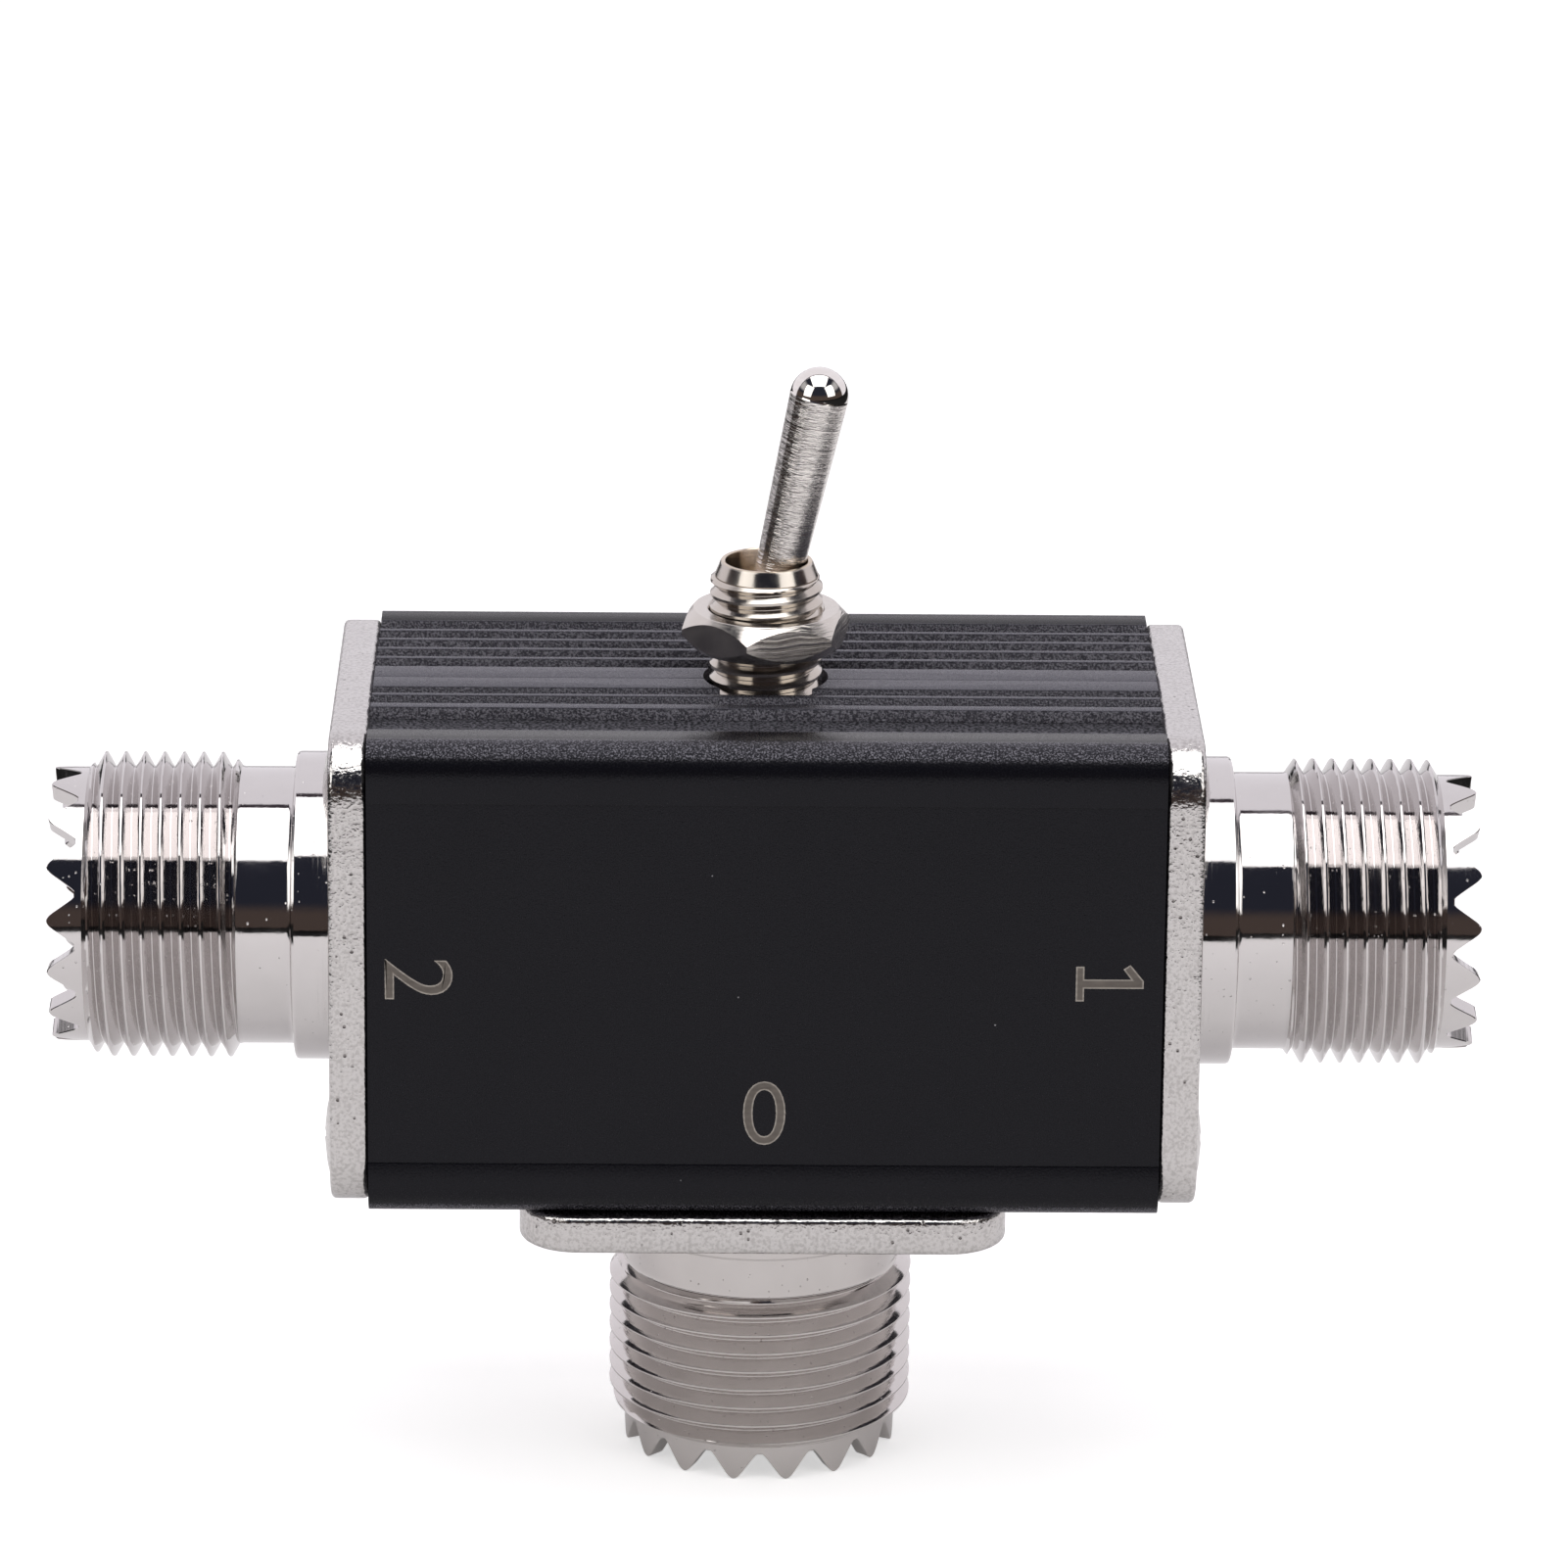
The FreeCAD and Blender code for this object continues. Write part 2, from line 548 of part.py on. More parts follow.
def terminal(x):
    """Silver-plated strip with a rounded contact head and a pierced solder lug."""
    strip = terminal_section(x)
    top = FULCRUM_Z - CONTACT_GAP
    long_top = [edge for edge in strip.Edges
                if abs(edge.BoundBox.ZMin - top) < 0.001 and abs(edge.BoundBox.ZMax - top) < 0.001
                and edge.BoundBox.YLength > 1]
    strip = strip.makeFillet(TERMINAL_T * 0.45, long_top)
    hole_centre = V(x - TERMINAL_T, 0, LUG_END + TERMINAL_HOLE_UP)
    hole = Part.makeCylinder(TERMINAL_HOLE_R, 2 * TERMINAL_T, hole_centre, X_AXIS)
    return strip.cut(hole)


def rocker_contact():
    """Bent strip that seesaws on the common terminal and bridges it to one side."""
    trough_top = ROCKER_T
    rise = ROCKER_TROUGH_R - math.sqrt(ROCKER_TROUGH_R ** 2 - ROCKER_TROUGH_HALF ** 2)
    wing_top = ROCKER_WING_RISE + ROCKER_T
    under_r = ROCKER_TROUGH_R + ROCKER_T
    under_half = ROCKER_TROUGH_HALF
    under_rise = under_r - math.sqrt(under_r ** 2 - under_half ** 2)
    y = -ROCKER_WIDTH / 2
    end = ROCKER_HALF_LENGTH
    start = ROCKER_WING_START

    def at(x, z):
        return V(x, y, z)

    def line(a, b):
        return Part.LineSegment(a, b).toShape()

    edges = [
        line(at(-end, wing_top), at(-start, wing_top)),
        line(at(-start, wing_top), at(-ROCKER_TROUGH_HALF, trough_top + rise)),
        Part.Arc(at(-ROCKER_TROUGH_HALF, trough_top + rise), at(0, trough_top),
                 at(ROCKER_TROUGH_HALF, trough_top + rise)).toShape(),
        line(at(ROCKER_TROUGH_HALF, trough_top + rise), at(start, wing_top)),
        line(at(start, wing_top), at(end, wing_top)),
        line(at(end, wing_top), at(end, ROCKER_WING_RISE)),
        line(at(end, ROCKER_WING_RISE), at(start, ROCKER_WING_RISE)),
        line(at(start, ROCKER_WING_RISE), at(under_half, under_rise)),
        Part.Arc(at(under_half, under_rise), at(0, 0), at(-under_half, under_rise)).toShape(),
        line(at(-under_half, under_rise), at(-start, ROCKER_WING_RISE)),
        line(at(-start, ROCKER_WING_RISE), at(-end, ROCKER_WING_RISE)),
        line(at(-end, ROCKER_WING_RISE), at(-end, wing_top))]
    strip = Part.Face(Part.Wire(edges)).extrude(V(0, ROCKER_WIDTH, 0))
    return rotated(strip, ROCKER_REST).translated(V(0, 0, FULCRUM_Z))


# ---- internal leads -----------------------------------------------------------------
def antenna_lead(side):
    """From one antenna socket's solder cup down to the terminal on the same side."""
    cup_floor = HALF_LENGTH + FLANGE_T + CUP_FLOOR_Z
    lug_face = TERMINAL_PITCH + TERMINAL_T / 2
    drop_start, drop_end = LEAD_BENDS_X
    start = V(cup_floor, 0, 0)
    path = Part.makePolygon([start, V(drop_start, 0, 0), V(drop_end, 0, -LEAD_DROP),
                             V(lug_face, 0, -LEAD_DROP)])
    section = wire_section(start, -X_AXIS, LEAD_R, LEAD_SIDES)
    wire = path.makePipeShell([section], True, False, 1)
    return wire if side > 0 else rotated(wire, 180, Z_AXIS)


def radio_lead():
    """Straight from the lower socket's solder cup to the common terminal."""
    cup_floor = -HALF_SIZE - FLANGE_T - CUP_FLOOR_Z
    return faceted([(0, cup_floor), (LEAD_R, cup_floor), (LEAD_R, LUG_END), (0, LUG_END)], LEAD_SIDES)


# ---- assembly --------------------------------------------------------------------------
def place_socket(shape, port):
    """Turn a piece built along +Z to its port: +X, -X or straight down."""
    if port == "antenna_1":
        return rotated(shape, 90).translated(V(HALF_LENGTH + FLANGE_T, 0, 0))
    if port == "antenna_2":
        return rotated(shape, -90).translated(V(-HALF_LENGTH - FLANGE_T, 0, 0))
    return rotated(shape, 180).translated(V(0, 0, -HALF_SIZE - FLANGE_T))


os.makedirs("parts", exist_ok=True)

case_section = full_extrusion()
rear = rear_half(case_section)
save(bore_case(rear), "rear_shell")
save(bore_case(rotated(rear, 180, X_AXIS)), "front_shell")

for port in ("antenna_1", "antenna_2", "radio"):
    screw_length = LOWER_SCREW_LENGTH if port == "radio" else END_SCREW_LENGTH
    save(place_socket(socket_body(), port), port + "_socket_body")
    save(place_socket(insulator(), port), port + "_insulator")
    save(place_socket(centre_contact(), port), port + "_centre_contact")
    save(place_socket(flange_screws(screw_length), port), port + "_flange_screws")

save(switch_bushing(), "switch_bushing")
save(bushing_nut(), "bushing_nut")
save(lock_washer(), "lock_washer")
save(toggle_lever(), "toggle_lever")
save(contact_plunger(), "contact_plunger")
save(plunger_spring(), "plunger_spring")
save(switch_frame(), "switch_frame")
save(switch_base(), "switch_base")
save(rocker_contact(), "rocker_contact")
save(terminal(0), "common_terminal")
save(terminal(TERMINAL_PITCH), "antenna_1_terminal")
save(terminal(-TERMINAL_PITCH), "antenna_2_terminal")
save(antenna_lead(1), "antenna_1_lead")
save(antenna_lead(-1), "antenna_2_lead")
save(radio_lead(), "radio_lead")

print("stands on Z=0; case centre %.2f, lever pivot %.2f, rocker fulcrum %.2f"
      % (CASE_CENTRE_Z, CASE_CENTRE_Z + PIVOT_Z, CASE_CENTRE_Z + FULCRUM_Z))
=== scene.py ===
import math

import bmesh
import bpy
from mathutils import Matrix, Vector


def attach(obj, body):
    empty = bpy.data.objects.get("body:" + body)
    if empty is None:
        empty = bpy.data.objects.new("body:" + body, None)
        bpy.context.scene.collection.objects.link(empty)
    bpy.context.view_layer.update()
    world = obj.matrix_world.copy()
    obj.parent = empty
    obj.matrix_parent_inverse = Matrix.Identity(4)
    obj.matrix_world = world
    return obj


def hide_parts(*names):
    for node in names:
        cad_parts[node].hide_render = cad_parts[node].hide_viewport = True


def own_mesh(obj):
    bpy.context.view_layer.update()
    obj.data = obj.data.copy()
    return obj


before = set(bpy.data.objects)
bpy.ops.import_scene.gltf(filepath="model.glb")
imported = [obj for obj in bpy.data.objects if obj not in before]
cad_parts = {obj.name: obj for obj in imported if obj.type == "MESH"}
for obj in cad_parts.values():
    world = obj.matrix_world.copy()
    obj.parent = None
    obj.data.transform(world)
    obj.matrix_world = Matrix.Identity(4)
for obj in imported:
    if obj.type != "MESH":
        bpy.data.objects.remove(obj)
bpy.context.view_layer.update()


# ---- camera ------------------------------
# A long lens looks at the front of the switch from a little above, and a slight
# roll keeps the case's long edges level.
CAMERA_PLACE = (-0.004362, -0.407129, 0.167539)
CAMERA_PAN = -0.754           # degrees
CAMERA_TILT = 72.057
CAMERA_ROLL = 0.58


def rotation(degrees, axis):
    """A turn about one axis."""
    return Matrix.Rotation(math.radians(degrees), 4, axis)


camera_data = bpy.data.cameras.new("camera")
camera_data.lens = 191.22
camera_data.sensor_width = 36.0
camera_data.clip_start = 0.01
camera = bpy.data.objects.new("camera", camera_data)
camera.matrix_world = (Matrix.Translation(CAMERA_PLACE) @ rotation(CAMERA_PAN, "Z")
                       @ rotation(CAMERA_TILT, "X") @ rotation(CAMERA_ROLL, "Z"))
bpy.context.scene.collection.objects.link(camera)
bpy.context.scene.camera = camera
bpy.context.scene.view_settings.view_transform = "Standard"


# ---- studio ------------------------------
# A small pale table, one large softbox overhead, two smaller ones at the front
# corners, a pale wall behind and a dark room to the sides and in front.
def feed(tree, node, inputs):
    """Give a node's inputs other nodes' outputs, plain values or red, green and blue."""
    for key, value in inputs.items():
        socket = node.inputs[key]
        if isinstance(value, bpy.types.NodeSocket):
            tree.links.new(value, socket)
        else:
            socket.default_value = (*value, 1.0) if socket.type == "RGBA" else value


def put(tree, kind, inputs=None, **settings):
    """Add a shader node with its settings and inputs."""
    node = tree.nodes.new(kind)
    for key, value in settings.items():
        setattr(node, key, value)
    feed(tree, node, inputs or {})
    return node


def sums(tree, operation, first, second=0.0, third=0.0):
    """One Math node's output."""
    return put(tree, "ShaderNodeMath", {0: first, 1: second, 2: third}, operation=operation).outputs[0]


def times(tree, first, second):
    """A product of two values."""
    return sums(tree, "MULTIPLY", first, second)


def ramp(tree, value, low, high, to_low=0.0, to_high=1.0):
    """Smooth step of a value from one level to another."""
    return put(tree, "ShaderNodeMapRange", {"Value": value, "From Min": low, "From Max": high,
                                            "To Min": to_low, "To Max": to_high},
               interpolation_type="SMOOTHSTEP").outputs["Result"]


def mixed(tree, factor, first, second):
    """Two colours mixed by a factor."""
    return put(tree, "ShaderNodeMix", {0: factor, 6: first, 7: second}, data_type="RGBA").outputs[2]


def noise(tree, vector, scale, detail, roughness=0.5):
    """Cloudy noise, centred on a half."""
    return put(tree, "ShaderNodeTexNoise", {"Vector": vector, "Scale": scale, "Detail": detail,
                                            "Roughness": roughness}).outputs["Fac"]


def to_object(bm, name, material):
    """A finished mesh as an object with one material."""
    mesh = bpy.data.meshes.new(name)
    bm.to_mesh(mesh)
    bm.free()
    mesh.materials.append(material)
    made = bpy.data.objects.new(name, mesh)
    bpy.context.scene.collection.objects.link(made)
    return made


WHITE = (1.0, 1.0, 1.0)
DARK = (0.02, 0.02, 0.02)
TABLE_FRONT = -0.345          # the table's front edge as metal mirrors it, in metres
TABLE_SIDE = 0.12
SEEN_GLOW = 0.56              # the table's own light to the camera, and to metal
MIRRORED_GLOW = 0.15

table_paint = bpy.data.materials.new("pale_table")
table_paint.use_nodes = True
tree = table_paint.node_tree
tree.nodes.clear()
path = put(tree, "ShaderNodeLightPath")
place = put(tree, "ShaderNodeTexCoord").outputs["Object"]
along = put(tree, "ShaderNodeSeparateXYZ", {0: place})
seen = sums(tree, "MAXIMUM", path.outputs["Is Glossy Ray"], path.outputs["Is Transmission Ray"])
aside = sums(tree, "ABSOLUTE", along.outputs["X"])
on_table = times(tree, ramp(tree, along.outputs["Y"], TABLE_FRONT - 0.01, TABLE_FRONT),
                 ramp(tree, aside, TABLE_SIDE, TABLE_SIDE + 0.02, 1.0, 0.0))
mirrored = times(tree, times(tree, seen, on_table), MIRRORED_GLOW)
strength = sums(tree, "MULTIPLY_ADD", path.outputs["Is Camera Ray"], SEEN_GLOW, mirrored)
lift = put(tree, "ShaderNodeEmission", {"Color": WHITE, "Strength": strength})
front_dark = times(tree, path.outputs["Is Glossy Ray"], sums(tree, "SUBTRACT", 1.0, on_table))
pale = mixed(tree, noise(tree, place, 900.0, 2.0), (0.81, 0.80, 0.80), (0.83, 0.82, 0.82))
paint = put(tree, "ShaderNodeBsdfDiffuse", {"Color": mixed(tree, front_dark, pale, DARK)})
both = put(tree, "ShaderNodeAddShader", {0: paint.outputs[0], 1: lift.outputs[0]})
put(tree, "ShaderNodeOutputMaterial", {"Surface": both.outputs[0]})

bm = bmesh.new()
bmesh.ops.create_grid(bm, x_segments=2, y_segments=2, size=3.0)
to_object(bm, "table", table_paint)


def softbox(name, place, target, width, height, radiance, colour):
    """A rectangular lamp aimed at a point, set by how bright its face is."""
    lamp = bpy.data.lights.new(name, "AREA")
    lamp.shape = "RECTANGLE"
    lamp.size = width
    lamp.size_y = height
    lamp.energy = radiance * math.pi * width * height
    lamp.color = colour
    holder = bpy.data.objects.new(name, lamp)
    aim = (Vector(target) - Vector(place)).to_track_quat("-Z", "Y")
    holder.matrix_world = Matrix.Translation(place) @ aim.to_matrix().to_4x4()
    bpy.context.scene.collection.objects.link(holder)


softbox("overhead_softbox", (0.0, -0.125, 0.63), (0.0, -0.125, 0.0), 0.56, 0.59, 1.8, (1.0, 0.99, 0.99))
for name, side in (("front_left_softbox", -1), ("front_right_softbox", 1)):
    softbox(name, (0.47 * side, -0.39, 0.40), (0.0, 0.0, 0.04), 0.42, 0.50, 1.7, (1.0, 0.99, 0.97))

# levels at which the room changes, for a look of length one
BACK_WALL_FROM = (0.17, 0.26)
SIDES_BEYOND = (0.62, 0.76)
SIDES_ABOVE = (0.35, 0.50)
CEILING_FROM = (0.18, 0.36)
RIM_LEAN = (0.33, 0.042)      # the overhead softbox's dark rim: where, and how far either way
HOT_LEAN = (-0.21, 0.42)      # its hot middle, which only metal shows
HOT_WITHIN = (0.38, 0.42)

world = bpy.data.worlds.new("studio")
bpy.context.scene.world = world
world.use_nodes = True
tree = world.node_tree
tree.nodes.clear()
path = put(tree, "ShaderNodeLightPath")
way = put(tree, "ShaderNodeSeparateXYZ", {0: put(tree, "ShaderNodeTexCoord").outputs["Generated"]})
aside = sums(tree, "ABSOLUTE", way.outputs["X"])
above = sums(tree, "MAXIMUM", way.outputs["Z"], 0.001)
ceiling = ramp(tree, way.outputs["Z"], *CEILING_FROM)
dark = mixed(tree, ceiling, (0.078, 0.058, 0.051), (0.023, 0.025, 0.037))
sides = times(tree, ramp(tree, aside, *SIDES_BEYOND), ramp(tree, way.outputs["Z"], *SIDES_ABOVE))
dark = mixed(tree, sides, dark, (0.50, 0.49, 0.50))
room = mixed(tree, ramp(tree, way.outputs["Y"], *BACK_WALL_FROM), dark, (0.96, 0.93, 0.98))
lean = sums(tree, "DIVIDE", way.outputs["Y"], above)
room = mixed(tree, sums(tree, "COMPARE", lean, *RIM_LEAN), room, (0.05, 0.04, 0.05))
hot = times(tree, ramp(tree, sums(tree, "DIVIDE", aside, above), *HOT_WITHIN, 1.0, 0.0),
            sums(tree, "COMPARE", lean, *HOT_LEAN))
room = mixed(tree, times(tree, hot, path.outputs["Is Glossy Ray"]), room, (1.6, 1.6, 1.6))
whole = mixed(tree, path.outputs["Is Camera Ray"], room, WHITE)
sky = put(tree, "ShaderNodeBackground", {"Color": whole, "Strength": 1.0})
put(tree, "ShaderNodeOutputWorld", {"Surface": sky.outputs[0]})


# ---- case halves -------------------------
# Two lengths of one aluminium extrusion, interlocked along the top and bottom,
# bead blasted and black anodised. Their sharp edges are broken by the blasting.
def effect(name, inputs, output):
    """A node group that several finishes share, with its input and output nodes."""
    group = bpy.data.node_groups.new(name, "ShaderNodeTree")
    for label, kind, value in inputs:
        socket = group.interface.new_socket(label, in_out="INPUT", socket_type=kind)
        if value is not None:
            socket.default_value = value
    group.interface.new_socket(output, in_out="OUTPUT", socket_type="NodeSocketFloat")
    return group, put(group, "NodeGroupInput"), put(group, "NodeGroupOutput")


def use(tree, group, inputs):
    """A shared effect placed in a material."""
    return put(tree, "ShaderNodeGroup", inputs, node_tree=group).outputs[0]


def finish(name):
    """An empty material with its shader, and the piece's own coordinates."""
    material = bpy.data.materials.new(name)
    material.use_nodes = True
    tree = material.node_tree
    tree.nodes.clear()
    shader = put(tree, "ShaderNodeBsdfPrincipled")
    put(tree, "ShaderNodeOutputMaterial", {"Surface": shader.outputs[0]})
    return material, tree, shader, put(tree, "ShaderNodeTexCoord").outputs["Object"]


def bump(tree, height, distance, strength, normal=None, invert=False):
    """Fine relief, on top of another relief's normal if one is given."""
    inputs = {"Height": height, "Distance": distance, "Strength": strength}
    if normal is not None:
        inputs["Normal"] = normal
    return put(tree, "ShaderNodeBump", inputs, invert=invert).outputs[0]


# dust and small pits: sparse round spots, in a share of the cells of one size
SMALLEST = 0.4                # a spot's radius, as a share of the one given
RADIUS_SPREAD = 0.8
SPOT_EDGE = 2.0               # how sharply a spot ends
spots, given, result = effect("sparse_spots", [
    ("Vector", "NodeSocketVector", None), ("Scale", "NodeSocketFloat", 1000.0),
    ("Share", "NodeSocketFloat", 0.1), ("Radius", "NodeSocketFloat", 0.15)], "Mask")
cells = put(spots, "ShaderNodeTexVoronoi", {"Vector": given.outputs["Vector"],
                                            "Scale": given.outputs["Scale"]})
draw = put(spots, "ShaderNodeSeparateColor", {0: cells.outputs["Color"]})
chosen = sums(spots, "LESS_THAN", draw.outputs[0], given.outputs["Share"])
size = times(spots, given.outputs["Radius"],
             sums(spots, "MULTIPLY_ADD", draw.outputs[1], RADIUS_SPREAD, SMALLEST))
inside = sums(spots, "SUBTRACT", 1.0, sums(spots, "DIVIDE", cells.outputs["Distance"], size))
inside = put(spots, "ShaderNodeClamp", {0: times(spots, inside, SPOT_EDGE)}).outputs[0]
feed(spots, result, {"Mask": times(spots, inside, chosen)})


def speckled(tree, own, scale, share, radius):
    """Sparse spots over a surface."""
    return use(tree, spots, {"Vector": own, "Scale": scale, "Share": share, "Radius": radius})


CASE_MID = 0.029              # height of the case's centre, in metres
RIBBED_ABOVE = (0.0117, 0.0118)       # heights from that centre, in metres
GROOVES_BELOW = (0.01242, 0.01248)
FLOORS_BELOW = (0.01186, 0.01188)
CORNER_ABOVE = (0.0117, 0.0120)
RIBBED_WITHIN = (0.00944, 0.00948)    # depths from the centre plane, in metres
CORNER_BEYOND = (0.0108, 0.0111)

anodised, tree, shader, own = finish("black_anodised")
reach = put(tree, "ShaderNodeSeparateXYZ", {0: own})
deep = sums(tree, "ABSOLUTE", reach.outputs["Y"])
height = sums(tree, "ABSOLUTE", sums(tree, "SUBTRACT", reach.outputs["Z"], CASE_MID))
blast = noise(tree, own, 10500.0, 2.5, 0.55)
specks = sums(tree, "MAXIMUM", speckled(tree, own, 700.0, 0.12, 0.06), speckled(tree, own, 260.0, 0.12, 0.04))
ribbed = times(tree, ramp(tree, height, *RIBBED_ABOVE), ramp(tree, deep, *RIBBED_WITHIN, 1.0, 0.0))
sunken = times(tree, ribbed, ramp(tree, height, *GROOVES_BELOW, 1.0, 0.0))
floors = times(tree, ribbed, ramp(tree, height, *FLOORS_BELOW, 1.0, 0.0))
corner = times(tree, ramp(tree, height, *CORNER_ABOVE), ramp(tree, deep, *CORNER_BEYOND))
coarse = sums(tree, "MAXIMUM", ribbed, corner)
# The shell's colour: the black dye, with painted light on the ribbed top and in its grooves, painted shade on
# the groove floors and painted glints on the front corner.
dye_and_painted_light = mixed(tree, noise(tree, own, 160.0, 3.0), (0.0040, 0.0040, 0.0062), (0.0062, 0.0062, 0.0088))
# painted light: the ribbed top is a lighter grey than the front, standing in for the overhead light that it
# faces
dye_and_painted_light = mixed(tree, ribbed, dye_and_painted_light, (0.062, 0.061, 0.074))
# painted light: the grooves get a lighter speckle, standing in for the light and sparkle that they catch
painted_groove_light = mixed(tree, ramp(tree, blast, 0.42, 0.62), (0.075, 0.073, 0.087), (0.30, 0.292, 0.33))
dye_and_painted_light = mixed(tree, sunken, dye_and_painted_light, painted_groove_light)
# painted shade: the groove floors get a darker speckle than the groove walls, standing in for the shade
# between the ribs
painted_floor_shade = mixed(tree, ramp(tree, noise(tree, own, 6000.0, 2.0), 0.42, 0.60),
                (0.012, 0.012, 0.015), (0.13, 0.127, 0.145))
dye_and_painted_light = mixed(tree, floors, dye_and_painted_light, painted_floor_shade)
# painted highlights: bright glints on the front corner's radius
painted_corner_glints = mixed(tree, ramp(tree, blast, 0.46, 0.64), (0.012, 0.012, 0.016), (0.185, 0.18, 0.207))
dye_and_painted_light = mixed(tree, times(tree, corner, 0.8), dye_and_painted_light, painted_corner_glints)
satin = sums(tree, "MULTIPLY_ADD", floors, 0.2, ramp(tree, blast, 0.3, 0.7, 0.20, 0.30))
relief = times(tree, blast, sums(tree, "MULTIPLY_ADD", coarse, 0.8, 0.2))
feed(tree, shader, {
    "Base Color": mixed(tree, times(tree, specks, 0.8), dye_and_painted_light, (0.45, 0.45, 0.47)),
    "Metallic": times(tree, coarse, 0.5),
    "Roughness": sums(tree, "MULTIPLY_ADD", sunken, 0.25, satin),
    "Specular IOR Level": 0.2,
    "Specular Tint": (0.96, 0.95, 1.0),
    "Normal": bump(tree, specks, 0.00001, 0.5, bump(tree, relief, 0.00010, 0.8))})

MM = 0.001
RIB_BREAK = 0.05              # how far the blasting rounds the ribs' edges, in millimetres
STEP_BREAK = 0.03             # and the edges of the front and back panels
BROKEN_OVER = 35              # degrees between an edge's faces
LONG_EDGE = 10.0              # only edges along the extrusion are this long
RIB_RISE = 12.2               # a rib's edges: above this, and no deeper than the next
RIB_DEPTH = 11.8
STEP_DEPTH = 12.2             # a panel's edges: deeper than this, and below the next
STEP_RISE = 10.2


def shade(bm, sharp):
    """Smooth faces, with every edge over an angle in degrees left sharp."""
    for edge in bm.edges:
        edge.smooth = len(edge.link_faces) == 2 and edge.calc_face_angle(0.0) < math.radians(sharp)
    for face in bm.faces:
        face.smooth = True


for half in ("front_shell", "rear_shell"):
    bm = bmesh.new()
    bm.from_mesh(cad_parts[half].data)
    bmesh.ops.remove_doubles(bm, verts=bm.verts, dist=2e-6)
    bmesh.ops.dissolve_limit(bm, angle_limit=math.radians(1.0), verts=bm.verts, edges=bm.edges)
    rib_edges = []
    step_edges = []
    for edge in bm.edges:
        if not edge.is_convex or edge.calc_face_angle(0.0) < math.radians(BROKEN_OVER):
            continue
        first, second = (vert.co for vert in edge.verts)
        if abs(first.x - second.x) < LONG_EDGE * MM:
            continue
        rise = abs(first.z - CASE_MID)
        if rise > RIB_RISE * MM and abs(first.y) < RIB_DEPTH * MM:
            rib_edges.append(edge)
        elif abs(first.y) > STEP_DEPTH * MM and rise < STEP_RISE * MM:
            step_edges.append(edge)
    for edges, broken in ((rib_edges, RIB_BREAK), (step_edges, STEP_BREAK)):
        bmesh.ops.bevel(bm, geom=[edge for edge in edges if edge.is_valid], offset=broken * MM,
                        offset_type="OFFSET", segments=2, profile=0.5, affect="EDGES", material=-1,
                        clamp_overlap=True)
    shade(bm, 32)
    shell = to_object(bm, half + "_broken_edges", anodised)
    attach(shell, "case")
    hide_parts(half)


# ---- port numbers ------------------------
# Plain numbers laser marked in the front panel: the beam burns the black dye off
# and leaves a matt warm grey line with fine scan marks.
laser, tree, shader, own = finish("laser_mark")
scan = put(tree, "ShaderNodeTexWave", {"Vector": own, "Scale": 900.0, "Distortion": 3.0, "Detail": 2.0},
           bands_direction="Z").outputs["Fac"]
fill = mixed(tree, noise(tree, own, 1500.0, 4.0), (0.11, 0.095, 0.083), (0.22, 0.195, 0.17))
burn = put(tree, "ShaderNodeAttribute", attribute_name="burnt", attribute_type="GEOMETRY").outputs["Fac"]
tint = mixed(tree, burn, (0.62, 0.57, 0.51), fill)
feed(tree, shader, {"Base Color": mixed(tree, times(tree, scan, 0.25), tint, (0.10, 0.085, 0.075)),
                    "Metallic": 0.4, "Roughness": 0.55, "Normal": bump(tree, scan, 0.000004, 0.5)})

NUMERAL_HEIGHT = 3.4
NUMERAL_RISE = 0.016          # how far the mark stands out of the panel, to its surface
RIM_WIDTH = 0.09              # the bright outline that the beam leaves round a stroke
PANEL_FACE = -12.42           # the recessed panel, from the case's middle
ONE = ((-0.27, 0.0), (0.27, 0.0), (0.27, 0.12), (0.07, 0.12), (0.07, 1.0), (-0.05, 1.0),
       (-0.30, 0.80), (-0.23, 0.70), (-0.07, 0.82), (-0.07, 0.12), (-0.27, 0.12))


def numeral_faces(numeral):
    """A flat numeral, NUMERAL_HEIGHT tall, with its middle at the origin."""
    bm = bmesh.new()
    if numeral == "1":
        bm.faces.new([bm.verts.new((x, y, 0)) for x, y in ONE])
    else:
        text = bpy.data.curves.new("numeral", "FONT")
        text.body = numeral
        text.resolution_u = 6
        holder = bpy.data.objects.new("numeral", text)
        bpy.context.scene.collection.objects.link(holder)
        bpy.context.view_layer.update()
        shape = bpy.data.meshes.new_from_object(holder.evaluated_get(bpy.context.evaluated_depsgraph_get()))
        bm.from_mesh(shape)
        bpy.data.objects.remove(holder)
        bpy.data.meshes.remove(shape)
        bmesh.ops.remove_doubles(bm, verts=bm.verts, dist=1e-5)
    low = Vector((min(vert.co.x for vert in bm.verts), min(vert.co.y for vert in bm.verts), 0))
    high = Vector((max(vert.co.x for vert in bm.verts), max(vert.co.y for vert in bm.verts), 0))
    bmesh.ops.translate(bm, vec=-(low + high) / 2, verts=bm.verts)
    bmesh.ops.scale(bm, vec=(NUMERAL_HEIGHT / (high.y - low.y),) * 3, verts=bm.verts)
    return bm


